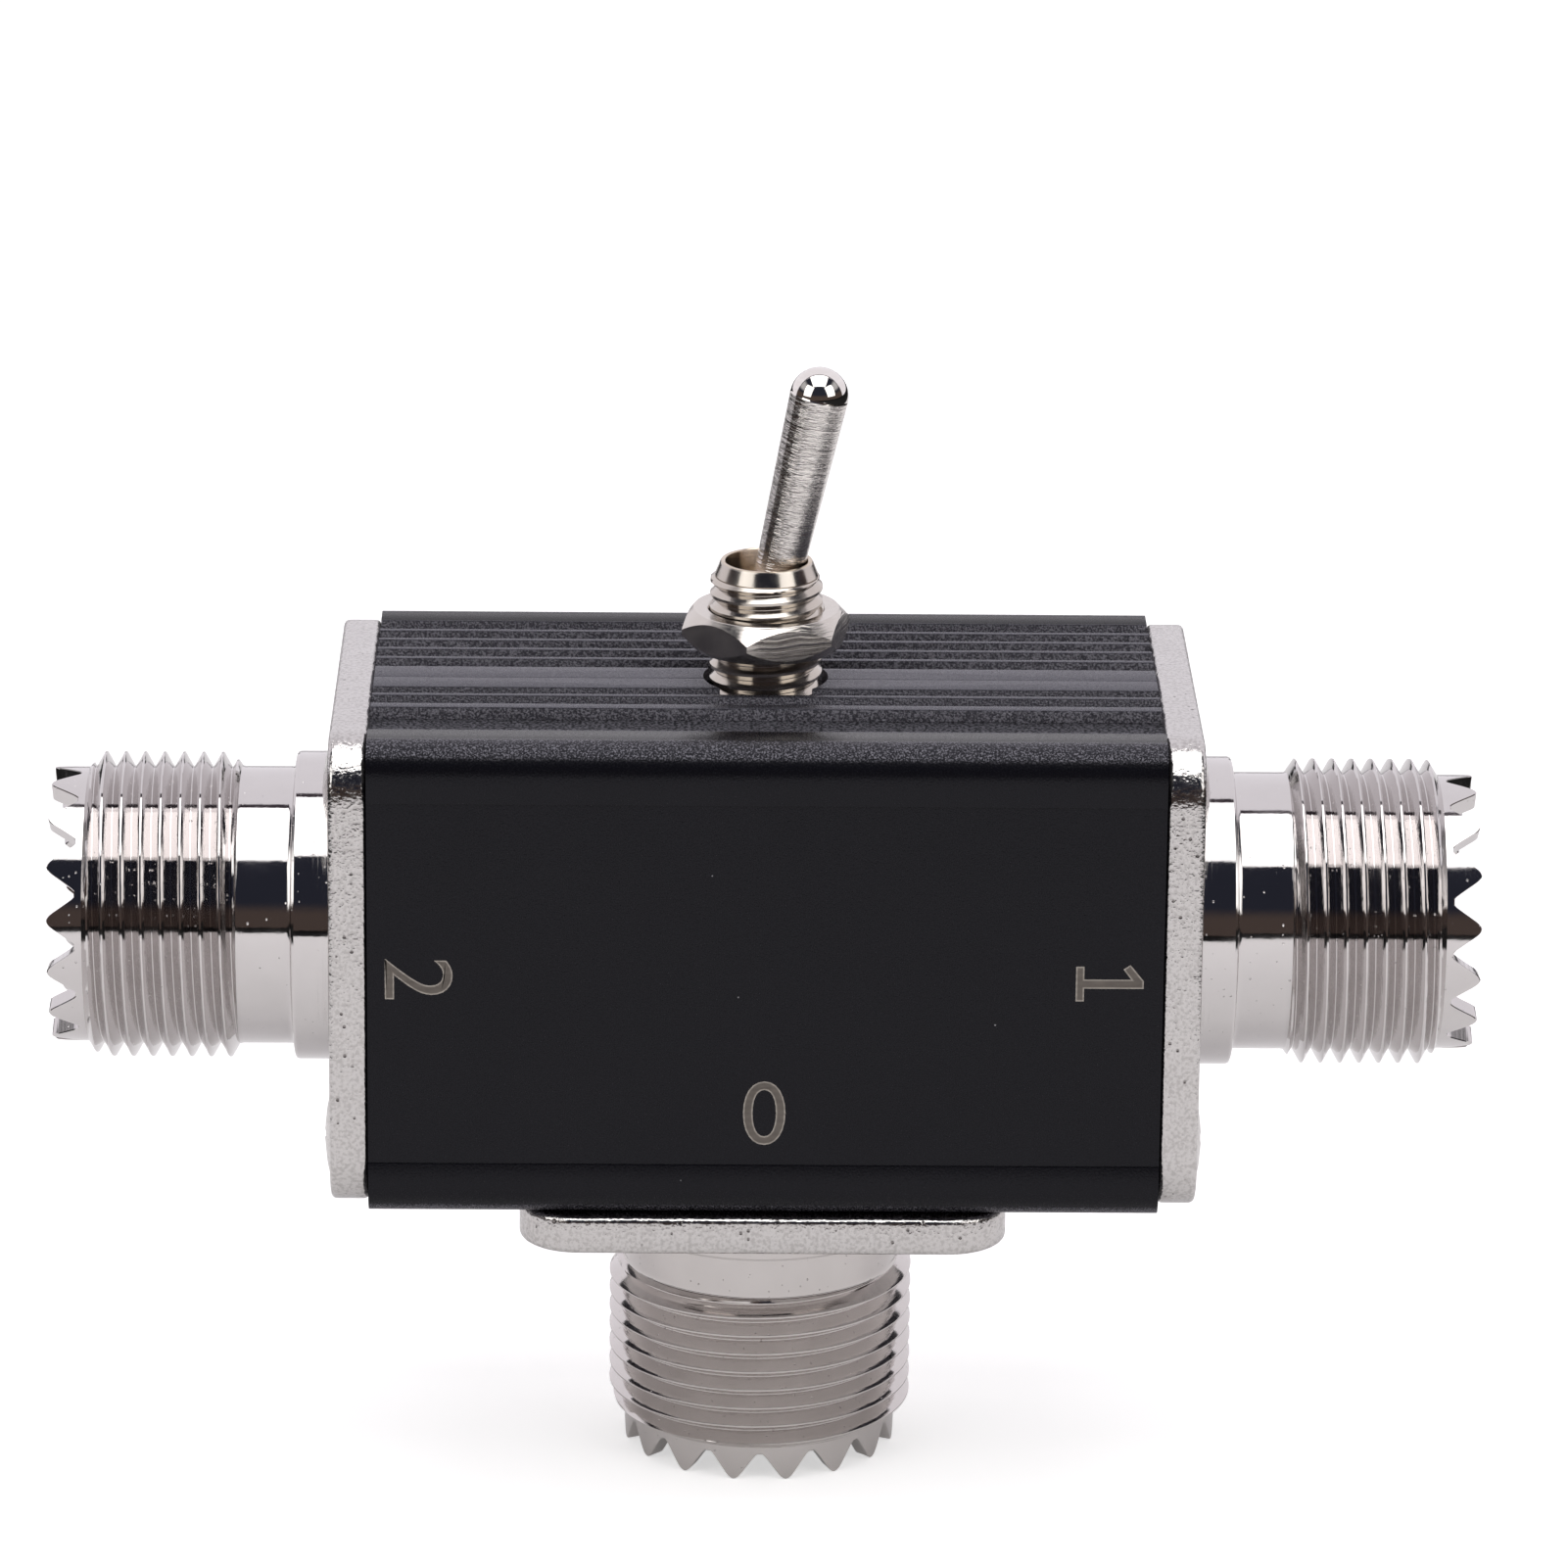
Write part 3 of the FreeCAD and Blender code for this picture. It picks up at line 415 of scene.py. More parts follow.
for numeral, name, x, z, turn in (("1", "antenna_1_number", 17.3, 0.3, 90),
                                  ("2", "antenna_2_number", -17.4, 0.3, 90),
                                  ("0", "radio_number", 0.0, -6.75, 0)):
    bm = numeral_faces(numeral)
    bmesh.ops.inset_region(bm, faces=bm.faces, thickness=RIM_WIDTH, use_boundary=True, use_even_offset=True)
    burnt = bm.verts.layers.float.new("burnt")
    for vert in bm.verts:
        on_rim = any(len(edge.link_faces) == 1 for edge in vert.link_edges)
        vert[burnt] = 0.0 if on_rim else 1.0
    made = bmesh.ops.extrude_face_region(bm, geom=bm.faces[:])["geom"]
    raised = [item for item in made if isinstance(item, bmesh.types.BMVert)]
    bmesh.ops.translate(bm, vec=(0, 0, NUMERAL_RISE), verts=raised)
    bmesh.ops.recalc_face_normals(bm, faces=bm.faces)
    on_panel = Matrix.Translation((x * MM, PANEL_FACE * MM, CASE_MID + z * MM))
    bmesh.ops.transform(bm, matrix=on_panel @ rotation(90, "X") @ rotation(-turn, "Z") @ Matrix.Scale(MM, 4),
                        verts=bm.verts)
    number = to_object(bm, name, laser)
    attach(number, "case")


# ---- socket flanges ----------------------
# Square zinc castings, nickel plated: rounded corners, four countersunk holes and
# the skin of the casting left rough on the edges and faces.
def join_meshes(bm, other):
    """Add another shape's mesh to this one."""
    scratch = bpy.data.meshes.new("scratch")
    other.to_mesh(scratch)
    other.free()
    bm.from_mesh(scratch)
    bpy.data.meshes.remove(scratch)


def finish_piece(bm, name, place, material, body, sharp=30.0):
    """Set a shape drawn in millimetres along its own Z axis into the part."""
    bmesh.ops.remove_doubles(bm, verts=bm.verts, dist=1e-4)
    bmesh.ops.recalc_face_normals(bm, faces=bm.faces)
    axial = bm.verts.layers.float.new("axial")
    for vert in bm.verts:
        vert[axial] = vert.co.z
    bmesh.ops.transform(bm, matrix=place @ Matrix.Scale(MM, 4), verts=bm.verts)
    shade(bm, sharp)
    piece = to_object(bm, name, material)
    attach(piece, body)
    return piece


def ring_edges(bm, radius, x, y, z, segments):
    """A loose circle of edges."""
    made = bmesh.ops.create_circle(bm, cap_ends=False, segments=segments, radius=radius,
                                   matrix=Matrix.Translation((x, y, z)))
    return list(dict.fromkeys(edge for vert in made["verts"] for edge in vert.link_edges))


def extruded(bm, edges):
    """Extrude open edges, and give the new points and the edges between them."""
    made = bmesh.ops.extrude_edge_only(bm, edges=edges)["geom"]
    verts = [item for item in made if isinstance(item, bmesh.types.BMVert)]
    fresh = set(verts)
    return verts, [item for item in made if isinstance(item, bmesh.types.BMEdge)
                   and all(vert in fresh for vert in item.verts)]


cast, tree, shader, own = finish("cast_nickel")
skin = noise(tree, own, 5000.0, 2.0)
lumps = noise(tree, own, 900.0, 3.0)
nicks = speckled(tree, own, 1500.0, 0.13, 0.20)
marks = sums(tree, "MAXIMUM", nicks, speckled(tree, own, 2600.0, 0.10, 0.28))
# painted shade: the plate is darker in the hollows of the skin's relief and lighter on its bumps
painted_skin_shading = ramp(tree, sums(tree, "ADD", skin, times(tree, lumps, 0.2)), 0.46, 0.68)
plate = mixed(tree, painted_skin_shading, (0.49, 0.47, 0.46), (0.62, 0.60, 0.59))
rough_skin = bump(tree, lumps, 0.00010, 0.5, bump(tree, skin, 0.000045, 0.75))
feed(tree, shader, {
    "Base Color": mixed(tree, times(tree, marks, 0.7), plate, (0.10, 0.085, 0.08)),
    "Metallic": 1.0,
    "Roughness": ramp(tree, skin, 0.3, 0.7, 0.10, 0.20),
    "Normal": bump(tree, marks, 0.00003, 0.6, rough_skin, invert=True)})

END_FACE = 0.02195            # the end flanges' outer faces, from the middle, in metres
LOWER_FACE = 0.01455          # the lower flange's outer face, from the stand
PORTS = {"antenna_1": Matrix.Translation((END_FACE, 0, CASE_MID)) @ rotation(90, "Y"),
         "antenna_2": Matrix.Translation((-END_FACE, 0, CASE_MID)) @ rotation(-90, "Y"),
         "radio": Matrix.Translation((0, 0, LOWER_FACE)) @ rotation(180, "Y")}
FLANGE = 24.8
FLANGE_T = 1.95
FLANGE_CORNER = 3.0
FLANGE_EDGE = 0.3
FLANGE_BORE_R = 6.9
SCREW_AT = 9.13               # screw holes from the flange's middle, both ways
SCREW_PLACES = [(x, y) for x in (-SCREW_AT, SCREW_AT) for y in (-SCREW_AT, SCREW_AT)]
HEAD_HOLE_R = 2.42
SHANK_HOLE_R = 1.45


def flange_plate():
    """A rounded square plate with its bore and four countersunk holes."""
    bm = bmesh.new()
    bmesh.ops.create_cube(bm, size=1.0)
    bmesh.ops.scale(bm, vec=(FLANGE, FLANGE, FLANGE_T), verts=bm.verts)
    bmesh.ops.translate(bm, vec=(0, 0, -FLANGE_T / 2), verts=bm.verts)
    upright = [edge for edge in bm.edges if abs(edge.verts[0].co.z - edge.verts[1].co.z) > 1]
    bmesh.ops.bevel(bm, geom=upright, offset=FLANGE_CORNER, offset_type="OFFSET", segments=14,
                    profile=0.5, affect="EDGES", material=-1)
    rims = [edge for edge in bm.edges if abs(edge.verts[0].co.z - edge.verts[1].co.z) < 0.001]
    bmesh.ops.bevel(bm, geom=rims, offset=FLANGE_EDGE, offset_type="OFFSET", segments=4,
                    profile=0.5, affect="EDGES", material=-1)
    for level, hole_r in ((0.0, HEAD_HOLE_R), (-FLANGE_T, SHANK_HOLE_R)):
        faces = [face for face in bm.faces if all(abs(vert.co.z - level) < 1e-4 for vert in face.verts)]
        edges = [edge for face in faces for edge in face.edges
                 if any(other not in faces for other in edge.link_faces)]
        bmesh.ops.delete(bm, geom=faces, context="FACES_ONLY")
        edges += ring_edges(bm, FLANGE_BORE_R, 0, 0, level, 64)
        for x, y in SCREW_PLACES:
            edges += ring_edges(bm, hole_r, x, y, level, 40)
        bmesh.ops.triangle_fill(bm, use_beauty=True, edges=edges)
    rings = {}
    for edge in [edge for edge in bm.edges if len(edge.link_faces) == 1]:
        centre = (edge.verts[0].co + edge.verts[1].co) / 2
        in_bore = centre.xy.length < FLANGE_BORE_R + 0.1
        quarter = (0, 0) if in_bore else (math.copysign(1, centre.x), math.copysign(1, centre.y))
        rings.setdefault(quarter, []).append(edge)
    bmesh.ops.bridge_loops(bm, edges=rings.pop((0, 0)))
    for quarter, edges in rings.items():
        top = [edge for edge in edges if edge.verts[0].co.z > -FLANGE_T / 2]
        foot = [edge for edge in edges if edge.verts[0].co.z < -FLANGE_T / 2]
        verts, low_ring = extruded(bm, top)
        centre = Vector((quarter[0] * SCREW_AT, quarter[1] * SCREW_AT, 0))
        for vert in verts:
            vert.co = centre + (vert.co - centre) * (SHANK_HOLE_R / HEAD_HOLE_R)
            vert.co.z = SHANK_HOLE_R - HEAD_HOLE_R
        bmesh.ops.bridge_loops(bm, edges=low_ring + foot)
    return bm


for port, place in PORTS.items():
    finish_piece(flange_plate(), port + "_flange", place, cast, "case", sharp=35.0)


# ---- socket barrels ----------------------
# Turned brass, nickel plated: a collar, a relieved neck, the coupling thread with both
# ends chamfered, and a nose milled into sixteen teeth. The socket underneath has a
# duller copy of the plate, painted a little darker as painted shade.
lathe_lines, given, result = effect("lathe_lines", [
    ("Axial", "NodeSocketFloat", 0.0), ("Lines per mm", "NodeSocketFloat", 20.0)], "Height")
line = times(lathe_lines, given.outputs["Axial"], given.outputs["Lines per mm"])
feed(lathe_lines, result, {"Height": put(
    lathe_lines, "ShaderNodeTexNoise", {"W": line, "Scale": 1.0, "Detail": 2.0, "Roughness": 0.7},
    noise_dimensions="1D").outputs["Fac"]})


def axial_of(tree):
    """How far along its own axis a turned piece is, in millimetres."""
    return put(tree, "ShaderNodeAttribute", attribute_name="axial", attribute_type="GEOMETRY").outputs["Fac"]


def tool_lines(tree, axial, per_mm):
    """The lines that a lathe's tool leaves round a piece."""
    return use(tree, lathe_lines, {"Axial": axial, "Lines per mm": per_mm})


def turned_nickel(name, dark, light, gloss, haziest):
    """Plate over fine tool marks, with pits, stains and a patchy haze."""
    material, tree, shader, own = finish(name)
    haze = noise(tree, own, 420.0, 4.0)
    stains = times(tree, speckled(tree, own, 700.0, 0.05, 0.10), 0.6)
    cut = bump(tree, tool_lines(tree, axial_of(tree), 18.0), 0.0000055, 0.6)
    rippled = bump(tree, noise(tree, own, 2600.0, 3.0), 0.000004, 0.5, cut)
    pits = speckled(tree, own, 3000.0, 0.30, 0.17)
    feed(tree, shader, {
        "Base Color": mixed(tree, stains, mixed(tree, haze, dark, light), (0.16, 0.13, 0.12)),
        "Metallic": 1.0,
        "Roughness": ramp(tree, haze, 0.35, 0.75, gloss, haziest),
        "Normal": bump(tree, pits, 0.00003, 0.8, rippled, invert=True)})
    return material


bright = turned_nickel("bright_nickel", (0.60, 0.575, 0.57), (0.68, 0.655, 0.65), 0.04, 0.09)
# painted shade: a duller copy of the bright nickel, a little darker, for the socket underneath
dull_shaded = turned_nickel("dull_shaded_nickel", (0.575, 0.543, 0.528), (0.655, 0.623, 0.608), 0.06, 0.12)

QUARTERS = (0.25, 0.5, 0.75)


def between(first, second, share):
    """A point a share of the way from one point to another."""
    return tuple(a + (b - a) * share for a, b in zip(first, second))


def with_supports(points, gap=0.04):
    """Add a point close to each end of every long run, so that its shading stays flat."""
    held = []
    for first, second in zip(points, points[1:] + points[:1]):
        held.append(first)
        length = math.dist(first, second)
        if length > 8 * gap:
            held += [between(first, second, share) for share in (gap / length, 1 - gap / length)]
    return held


def lathe(bm, points, segments):
    """Turn a closed outline of (radius, z) points about Z."""
    verts = [bm.verts.new((radius, 0, z)) for radius, z in with_supports(points)]
    edges = [bm.edges.new(pair) for pair in zip(verts, verts[1:] + verts[:1])]
    bmesh.ops.spin(bm, geom=verts + edges, cent=(0, 0, 0), axis=(0, 0, 1), dvec=(0, 0, 0),
                   angle=2 * math.pi, steps=segments, use_merge=True)


def turn_shape(bm, degrees):
    """Turn a whole shape about its own Z axis."""
    bmesh.ops.rotate(bm, cent=(0, 0, 0), matrix=Matrix.Rotation(math.radians(degrees), 3, "Z"),
                     verts=bm.verts)


def helix_thread(root_r, crest_r, pitch, crest_flat, start, end, phase, steps,
                 inner_r, start_r, end_r, chamfer):
    """A right-handed thread, cut square at both ends, chamfered and closed inside."""
    bm = bmesh.new()
    crest_round = 0.035 * pitch
    foot = (0.02 * pitch, root_r)
    shoulder = ((pitch - crest_flat) / 2 - crest_round, crest_r - 0.04 * pitch)
    half = [(0.0, root_r), foot] + [between(foot, shoulder, share) for share in QUARTERS]
    half += [shoulder, (shoulder[0] + crest_round, crest_r)]
    profile = half + [(pitch - z, radius) for z, radius in reversed(half)]
    lowest = start - 1.5 * pitch
    verts = [bm.verts.new((radius, 0, lowest + z)) for z, radius in profile]
    edges = [bm.edges.new(pair) for pair in zip(verts, verts[1:])]
    bmesh.ops.spin(bm, geom=verts + edges, cent=(0, 0, 0), axis=(0, 0, 1), dvec=(0, 0, pitch / steps),
                   angle=2 * math.pi, steps=steps)
    one_turn = bm.verts[:] + bm.edges[:] + bm.faces[:]
    for turn in range(1, math.ceil((end - lowest) / pitch) + 1):
        made = bmesh.ops.duplicate(bm, geom=one_turn)["geom"]
        bmesh.ops.translate(bm, vec=(0, 0, turn * pitch),
                            verts=[item for item in made if isinstance(item, bmesh.types.BMVert)])
    bmesh.ops.remove_doubles(bm, verts=bm.verts, dist=1e-4)
    turn_shape(bm, phase)
    for level, side in ((start, -1), (end, 1)):
        bmesh.ops.bisect_plane(bm, geom=bm.verts[:] + bm.edges[:] + bm.faces[:], dist=1e-5,
                               plane_co=(0, 0, level), plane_no=(0, 0, side), clear_outer=True)
    for vert in bm.verts:
        radius = vert.co.xy.length
        limit = min(start_r + (vert.co.z - start) * (crest_r - start_r) / chamfer,
                    end_r + (end - vert.co.z) * (crest_r - end_r) / chamfer)
        if radius > limit:
            vert.co.xy *= limit / radius
    inner_rims = []
    for level in (start, end):
        outer_rim = [edge for edge in bm.edges if len(edge.link_faces) == 1
                     and all(abs(vert.co.z - level) < 1e-4 for vert in edge.verts)]
        verts, inner_rim = extruded(bm, outer_rim)
        for vert in verts:
            vert.co.xy *= inner_r / vert.co.xy.length
        inner_rims += inner_rim
    bmesh.ops.bridge_loops(bm, edges=inner_rims)
    return bm


MOUTH_R = 6.1
SPIGOT_R = FLANGE_BORE_R - 0.02
SPIGOT_END = -0.5             # where the spigot widens, inside the flange
COLLAR_R = 7.95
COLLAR_END = 2.1
NECK_R = 7.15
THREAD_R = 7.87
THREAD_ROOT_R = 7.12
THREAD_CORE_R = 6.92          # the brass below the thread's roots
THREAD_START = {"antenna_1": 4.9, "antenna_2": 4.9, "radio": 4.45}
THREAD_END = 12.75
THREAD_PHASE = {"antenna_1": 0.0, "antenna_2": 0.0, "radio": 342.0}
NOSE_R = 7.07
NOSE_START = 12.6
NOSE_TIP = 14.55
TEETH = 16
TOOTH_DEPTH = 1.42
TIP_HALF = 0.28               # half the width of a tooth's flat tip
VALLEY_HALF = 0.12            # half the width of a valley's rounded floor
TIP_BLEND = 0.3               # over which a flank rounds into the tip
TOOTH_BREAK = 0.05            # how far the teeth's edges are broken
TOOTH_STEPS = 20              # mesh steps round one tooth


def tooth_top(x, y):
    """Height of the milled nose at a point: straight V valleys, rounded tips."""
    angle = math.atan2(y, x)
    pitch = 2 * math.pi / TEETH
    valley = math.pi / 2 + round((angle - math.pi / 2) / pitch) * pitch
    off = math.hypot(x, y) * abs(math.sin(angle - valley))
    slope = (math.pi * NOSE_R / TEETH - TIP_HALF - VALLEY_HALF) / TOOTH_DEPTH
    rise = math.hypot(max(off - VALLEY_HALF, 0) / slope, VALLEY_HALF) - VALLEY_HALF
    gap = max(TIP_BLEND - abs(TOOTH_DEPTH - rise), 0) / TIP_BLEND
    return NOSE_TIP - TOOTH_DEPTH + min(TOOTH_DEPTH, rise) - gap * gap * TIP_BLEND / 4


def toothed_nose():
    """A ring of milled teeth with broken edges, closed below."""
    bm = bmesh.new()
    first = rim = ring_edges(bm, NOSE_R, 0, 0, NOSE_START, TEETH * TOOTH_STEPS)
    for radius, below_top in ((NOSE_R, TOOTH_BREAK), (NOSE_R - TOOTH_BREAK, 0.0),
                              (MOUTH_R + TOOTH_BREAK, 0.0), (MOUTH_R, TOOTH_BREAK), (MOUTH_R, None)):
        verts, rim = extruded(bm, rim)
        for vert in verts:
            vert.co.xy *= radius / vert.co.xy.length
            vert.co.z = NOSE_START if below_top is None else tooth_top(vert.co.x, vert.co.y) - below_top
    bmesh.ops.bridge_loops(bm, edges=first + rim)
    return bm


for port, place in PORTS.items():
    start = THREAD_START[port]
    bm = bmesh.new()
    lathe(bm, [(MOUTH_R, -FLANGE_T), (SPIGOT_R, -FLANGE_T), (SPIGOT_R, SPIGOT_END),
               (COLLAR_R - 0.1, SPIGOT_END), (COLLAR_R - 0.02, 0.0), (COLLAR_R, 0.12),
               (COLLAR_R, COLLAR_END - 0.16), (COLLAR_R - 0.05, COLLAR_END - 0.05),
               (COLLAR_R - 0.16, COLLAR_END), (NECK_R + 0.2, COLLAR_END),
               (NECK_R + 0.06, COLLAR_END + 0.06), (NECK_R, COLLAR_END + 0.2), (NECK_R, start - 0.1),
               (NECK_R + 0.04, start + 0.05), (THREAD_CORE_R, start + 0.3), (THREAD_CORE_R, NOSE_START),
               (MOUTH_R, NOSE_START)], segments=160)
    join_meshes(bm, helix_thread(
        root_r=THREAD_ROOT_R, crest_r=THREAD_R, pitch=1.0, crest_flat=0.08, start=start, end=THREAD_END,
        phase=THREAD_PHASE[port], steps=120, inner_r=6.6, start_r=NECK_R, end_r=NOSE_R, chamfer=0.5))
    join_meshes(bm, toothed_nose())
    # the socket underneath gets the darker copy, as painted shade
    plated = dull_shaded if port == "radio" else bright
    barrel = finish_piece(bm, port + "_barrel", place, plated, "case", sharp=24.0)
    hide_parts(port + "_socket_body")


# ---- insulators --------------------------
# White moulded sleeves pressed in from behind, with a clear ring round the
# contact's fingers so that they can spread.
white, tree, shader, own = finish("white_insulator")
cloud = noise(tree, own, 500.0, 4.0)
moulded = bump(tree, tool_lines(tree, axial_of(tree), 5.0), 0.000003, 0.5)
feed(tree, shader, {
    "Base Color": mixed(tree, cloud, (0.80, 0.79, 0.76), (0.87, 0.86, 0.84)),
    "Roughness": ramp(tree, cloud, 0.3, 0.7, 0.38, 0.52),
    "Subsurface Weight": 0.15,
    "Subsurface Radius": (1.0, 0.9, 0.8),
    "Subsurface Scale": 0.0008,
    "Normal": bump(tree, cloud, 0.00002, 0.3, moulded)})

SLEEVE_FOOT = -3.2            # heights from the flange's face
SLEEVE_TOP = 8.05
SLEEVE_FOOT_R = 6.6
SLEEVE_RING_R = 3.0           # the clear ring round the fingers
CONTACT_R = 2.75
FINGER_ROOT = 3.3
for port, place in PORTS.items():
    bm = bmesh.new()
    lathe(bm, [(CONTACT_R, SLEEVE_FOOT), (SLEEVE_FOOT_R - 0.1, SLEEVE_FOOT),
               (SLEEVE_FOOT_R, SLEEVE_FOOT + 0.1), (SLEEVE_FOOT_R, -FLANGE_T), (MOUTH_R, -FLANGE_T),
               (MOUTH_R, SLEEVE_TOP - 0.15), (MOUTH_R - 0.15, SLEEVE_TOP),
               (SLEEVE_RING_R + 0.12, SLEEVE_TOP), (SLEEVE_RING_R, SLEEVE_TOP - 0.12),
               (SLEEVE_RING_R, FINGER_ROOT), (CONTACT_R, FINGER_ROOT)], segments=96)
    sleeve = finish_piece(bm, port + "_white_sleeve", place, white, "case")
    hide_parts(port + "_insulator")


# ---- centre contacts ---------------------
# Silver-plated brass tubes that grip a plug's 4 mm pin: four sprung fingers, a
# shoulder behind the insulator and a solder cup.
silver, tree, shader, own = finish("silver_plate")
tarnish = noise(tree, own, 700.0, 5.0)
darkened = ramp(tree, tarnish, 0.45, 0.75)
feed(tree, shader, {
    "Base Color": mixed(tree, darkened, (0.80, 0.77, 0.71), (0.60, 0.54, 0.45)),
    "Metallic": 1.0,
    "Roughness": ramp(tree, tarnish, 0.35, 0.7, 0.16, 0.34),
    "Normal": bump(tree, tool_lines(tree, axial_of(tree), 16.0), 0.000003, 0.6)})

AXIS_R = 0.0005               # the open pinhole on a turned piece's own axis
PIN_BORE_R = 2.0
PIN_FLOOR = -2.0
FINGER_TIP = 9.05
SLOT = 0.5
SHOULDER_R = 3.3
SHOULDER_END = -4.0
CUP_R = 1.5
CUP_BORE_R = 0.8
CUP_FLOOR = -3.6
CUP_END = -7.6
FINGER = [(PIN_BORE_R, FINGER_ROOT), (CONTACT_R, FINGER_ROOT), (CONTACT_R, FINGER_TIP - 0.25),
          (CONTACT_R - 0.1, FINGER_TIP - 0.06), (CONTACT_R - 0.25, FINGER_TIP),
          (PIN_BORE_R + 0.25, FINGER_TIP), (PIN_BORE_R + 0.07, FINGER_TIP - 0.08),
          (PIN_BORE_R, FINGER_TIP - 0.3)]
for port, place in PORTS.items():
    bm = bmesh.new()
    lathe(bm, [(PIN_BORE_R, FINGER_ROOT), (CONTACT_R, FINGER_ROOT), (CONTACT_R, SLEEVE_FOOT),
               (SHOULDER_R, SLEEVE_FOOT), (SHOULDER_R, SHOULDER_END), (CUP_R, SHOULDER_END),
               (CUP_R, CUP_END + 0.1), (CUP_R - 0.08, CUP_END), (CUP_BORE_R, CUP_END),
               (CUP_BORE_R, CUP_FLOOR), (AXIS_R, CUP_FLOOR), (AXIS_R, PIN_FLOOR),
               (PIN_BORE_R, PIN_FLOOR)], segments=96)
    for quarter in range(4):
        finger = bmesh.new()
        verts = [finger.verts.new((radius, 0, z)) for radius, z in FINGER]
        face = finger.faces.new(verts)
        turn_shape(finger, -45)
        bmesh.ops.spin(finger, geom=[face] + list(face.edges) + verts, cent=(0, 0, 0), axis=(0, 0, 1),
                       dvec=(0, 0, 0), angle=math.radians(90), steps=16)
        for vert in finger.verts:
            radius = vert.co.xy.length
            share = math.degrees(math.atan2(vert.co.y, vert.co.x)) / 45
            angle = share * (math.radians(45) - math.asin(SLOT / 2 / radius))
            vert.co.xy = (radius * math.cos(angle), radius * math.sin(angle))
        turn_shape(finger, 90 * quarter)
        join_meshes(bm, finger)
    contact = finish_piece(bm, port + "_slotted_contact", place, silver, "case")
    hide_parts(port + "_centre_contact")


# ---- flange screws -----------------------
# M2.5 raised countersunk steel screws, nickel plated, with pressed cross recesses.
# Their heads stand a little proud of the flange and no two stop at the same turn.
steel, tree, shader, own = finish("nickel_screw")
pressed = noise(tree, own, 2600.0, 4.0)
worn = times(tree, speckled(tree, own, 1900.0, 0.15, 0.16), 0.6)
feed(tree, shader, {"Base Color": mixed(tree, worn, (0.64, 0.62, 0.60), (0.18, 0.16, 0.15)),
                    "Metallic": 1.0,
                    "Roughness": ramp(tree, pressed, 0.3, 0.7, 0.16, 0.30),
                    "Normal": bump(tree, pressed, 0.000012, 0.5)})

SCREW_R = 1.24
SCREW_LENGTH = {"antenna_1": 8.0, "antenna_2": 8.0, "radio": 4.9}
SCREW_TURNS = (12.0, 47.0, 71.0, 33.0)
HEAD_R = 2.35
HEAD_RISE = 0.35
HEAD_RINGS = ((1.85, 0.0), (2.1, 0.0), (HEAD_R - 0.05, 0.0), (HEAD_R, -0.06), (SCREW_R, SCREW_R - HEAD_R))
CROSS_RING_R = 1.6            # the mesh ring round the recess
RECESS_REACH = 1.25
RECESS_HALF = 0.24
RECESS_TIP_HALF = 0.192
RECESS_TAPER = 0.62           # the recess's floor, as a share of its mouth
RECESS_DEPTH = 1.0


def cross_head_screw(length):
    """A raised countersunk screw, its head's rim level with Z = 0."""
    bm = bmesh.new()
    cross = []
    for quarter in range(4):
        turn = rotation(90 * quarter, "Z")
        for x, y in ((RECESS_REACH, -RECESS_TIP_HALF), (RECESS_REACH, RECESS_TIP_HALF),
                     (RECESS_HALF, RECESS_HALF)):
            cross.append(bm.verts.new(turn @ Vector((x, y, 0))))
    cross_edges = [bm.edges.new(pair) for pair in zip(cross, cross[1:] + cross[:1])]
    rim = ring_edges(bm, CROSS_RING_R, 0, 0, 0, 48)
    bmesh.ops.triangle_fill(bm, use_beauty=True, edges=cross_edges + rim)
    for radius, z in HEAD_RINGS + ((SCREW_R, -length),):
        verts, rim = extruded(bm, rim)
        for vert in verts:
            vert.co.xy *= radius / vert.co.xy.length
            vert.co.z = z
    bmesh.ops.contextual_create(bm, geom=rim)
    for vert in bm.verts:
        if vert.co.z > -0.01:
            vert.co.z = HEAD_RISE * (1 - (vert.co.xy.length / HEAD_R) ** 2)
    floor, floor_rim = extruded(bm, cross_edges)
    for vert in floor:
        vert.co.xy *= RECESS_TAPER
        vert.co.z = HEAD_RISE - RECESS_DEPTH
    bmesh.ops.triangle_fill(bm, use_beauty=True, edges=floor_rim)
    return bm


for port, place in PORTS.items():
    bm = bmesh.new()
    for (x, y), turn in zip(SCREW_PLACES, SCREW_TURNS):
        screw = cross_head_screw(SCREW_LENGTH[port])
        bmesh.ops.transform(screw, matrix=Matrix.Translation((x, y, 0)) @ rotation(turn, "Z"),
                            verts=screw.verts)
        join_meshes(bm, screw)
    screws = finish_piece(bm, port + "_cross_head_screws", place, steel, "case", sharp=28.0)
    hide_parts(port + "_flange_screws")


# ---- switch bushing ----------------------
# The toggle's turned brass bushing, nickel plated: an M6 thread, a tapered rim
# and an open throat that widens upwards from the lever's ball.
THROAT_WITHIN = (0.00230, 0.00236)    # from the bushing's axis, in metres

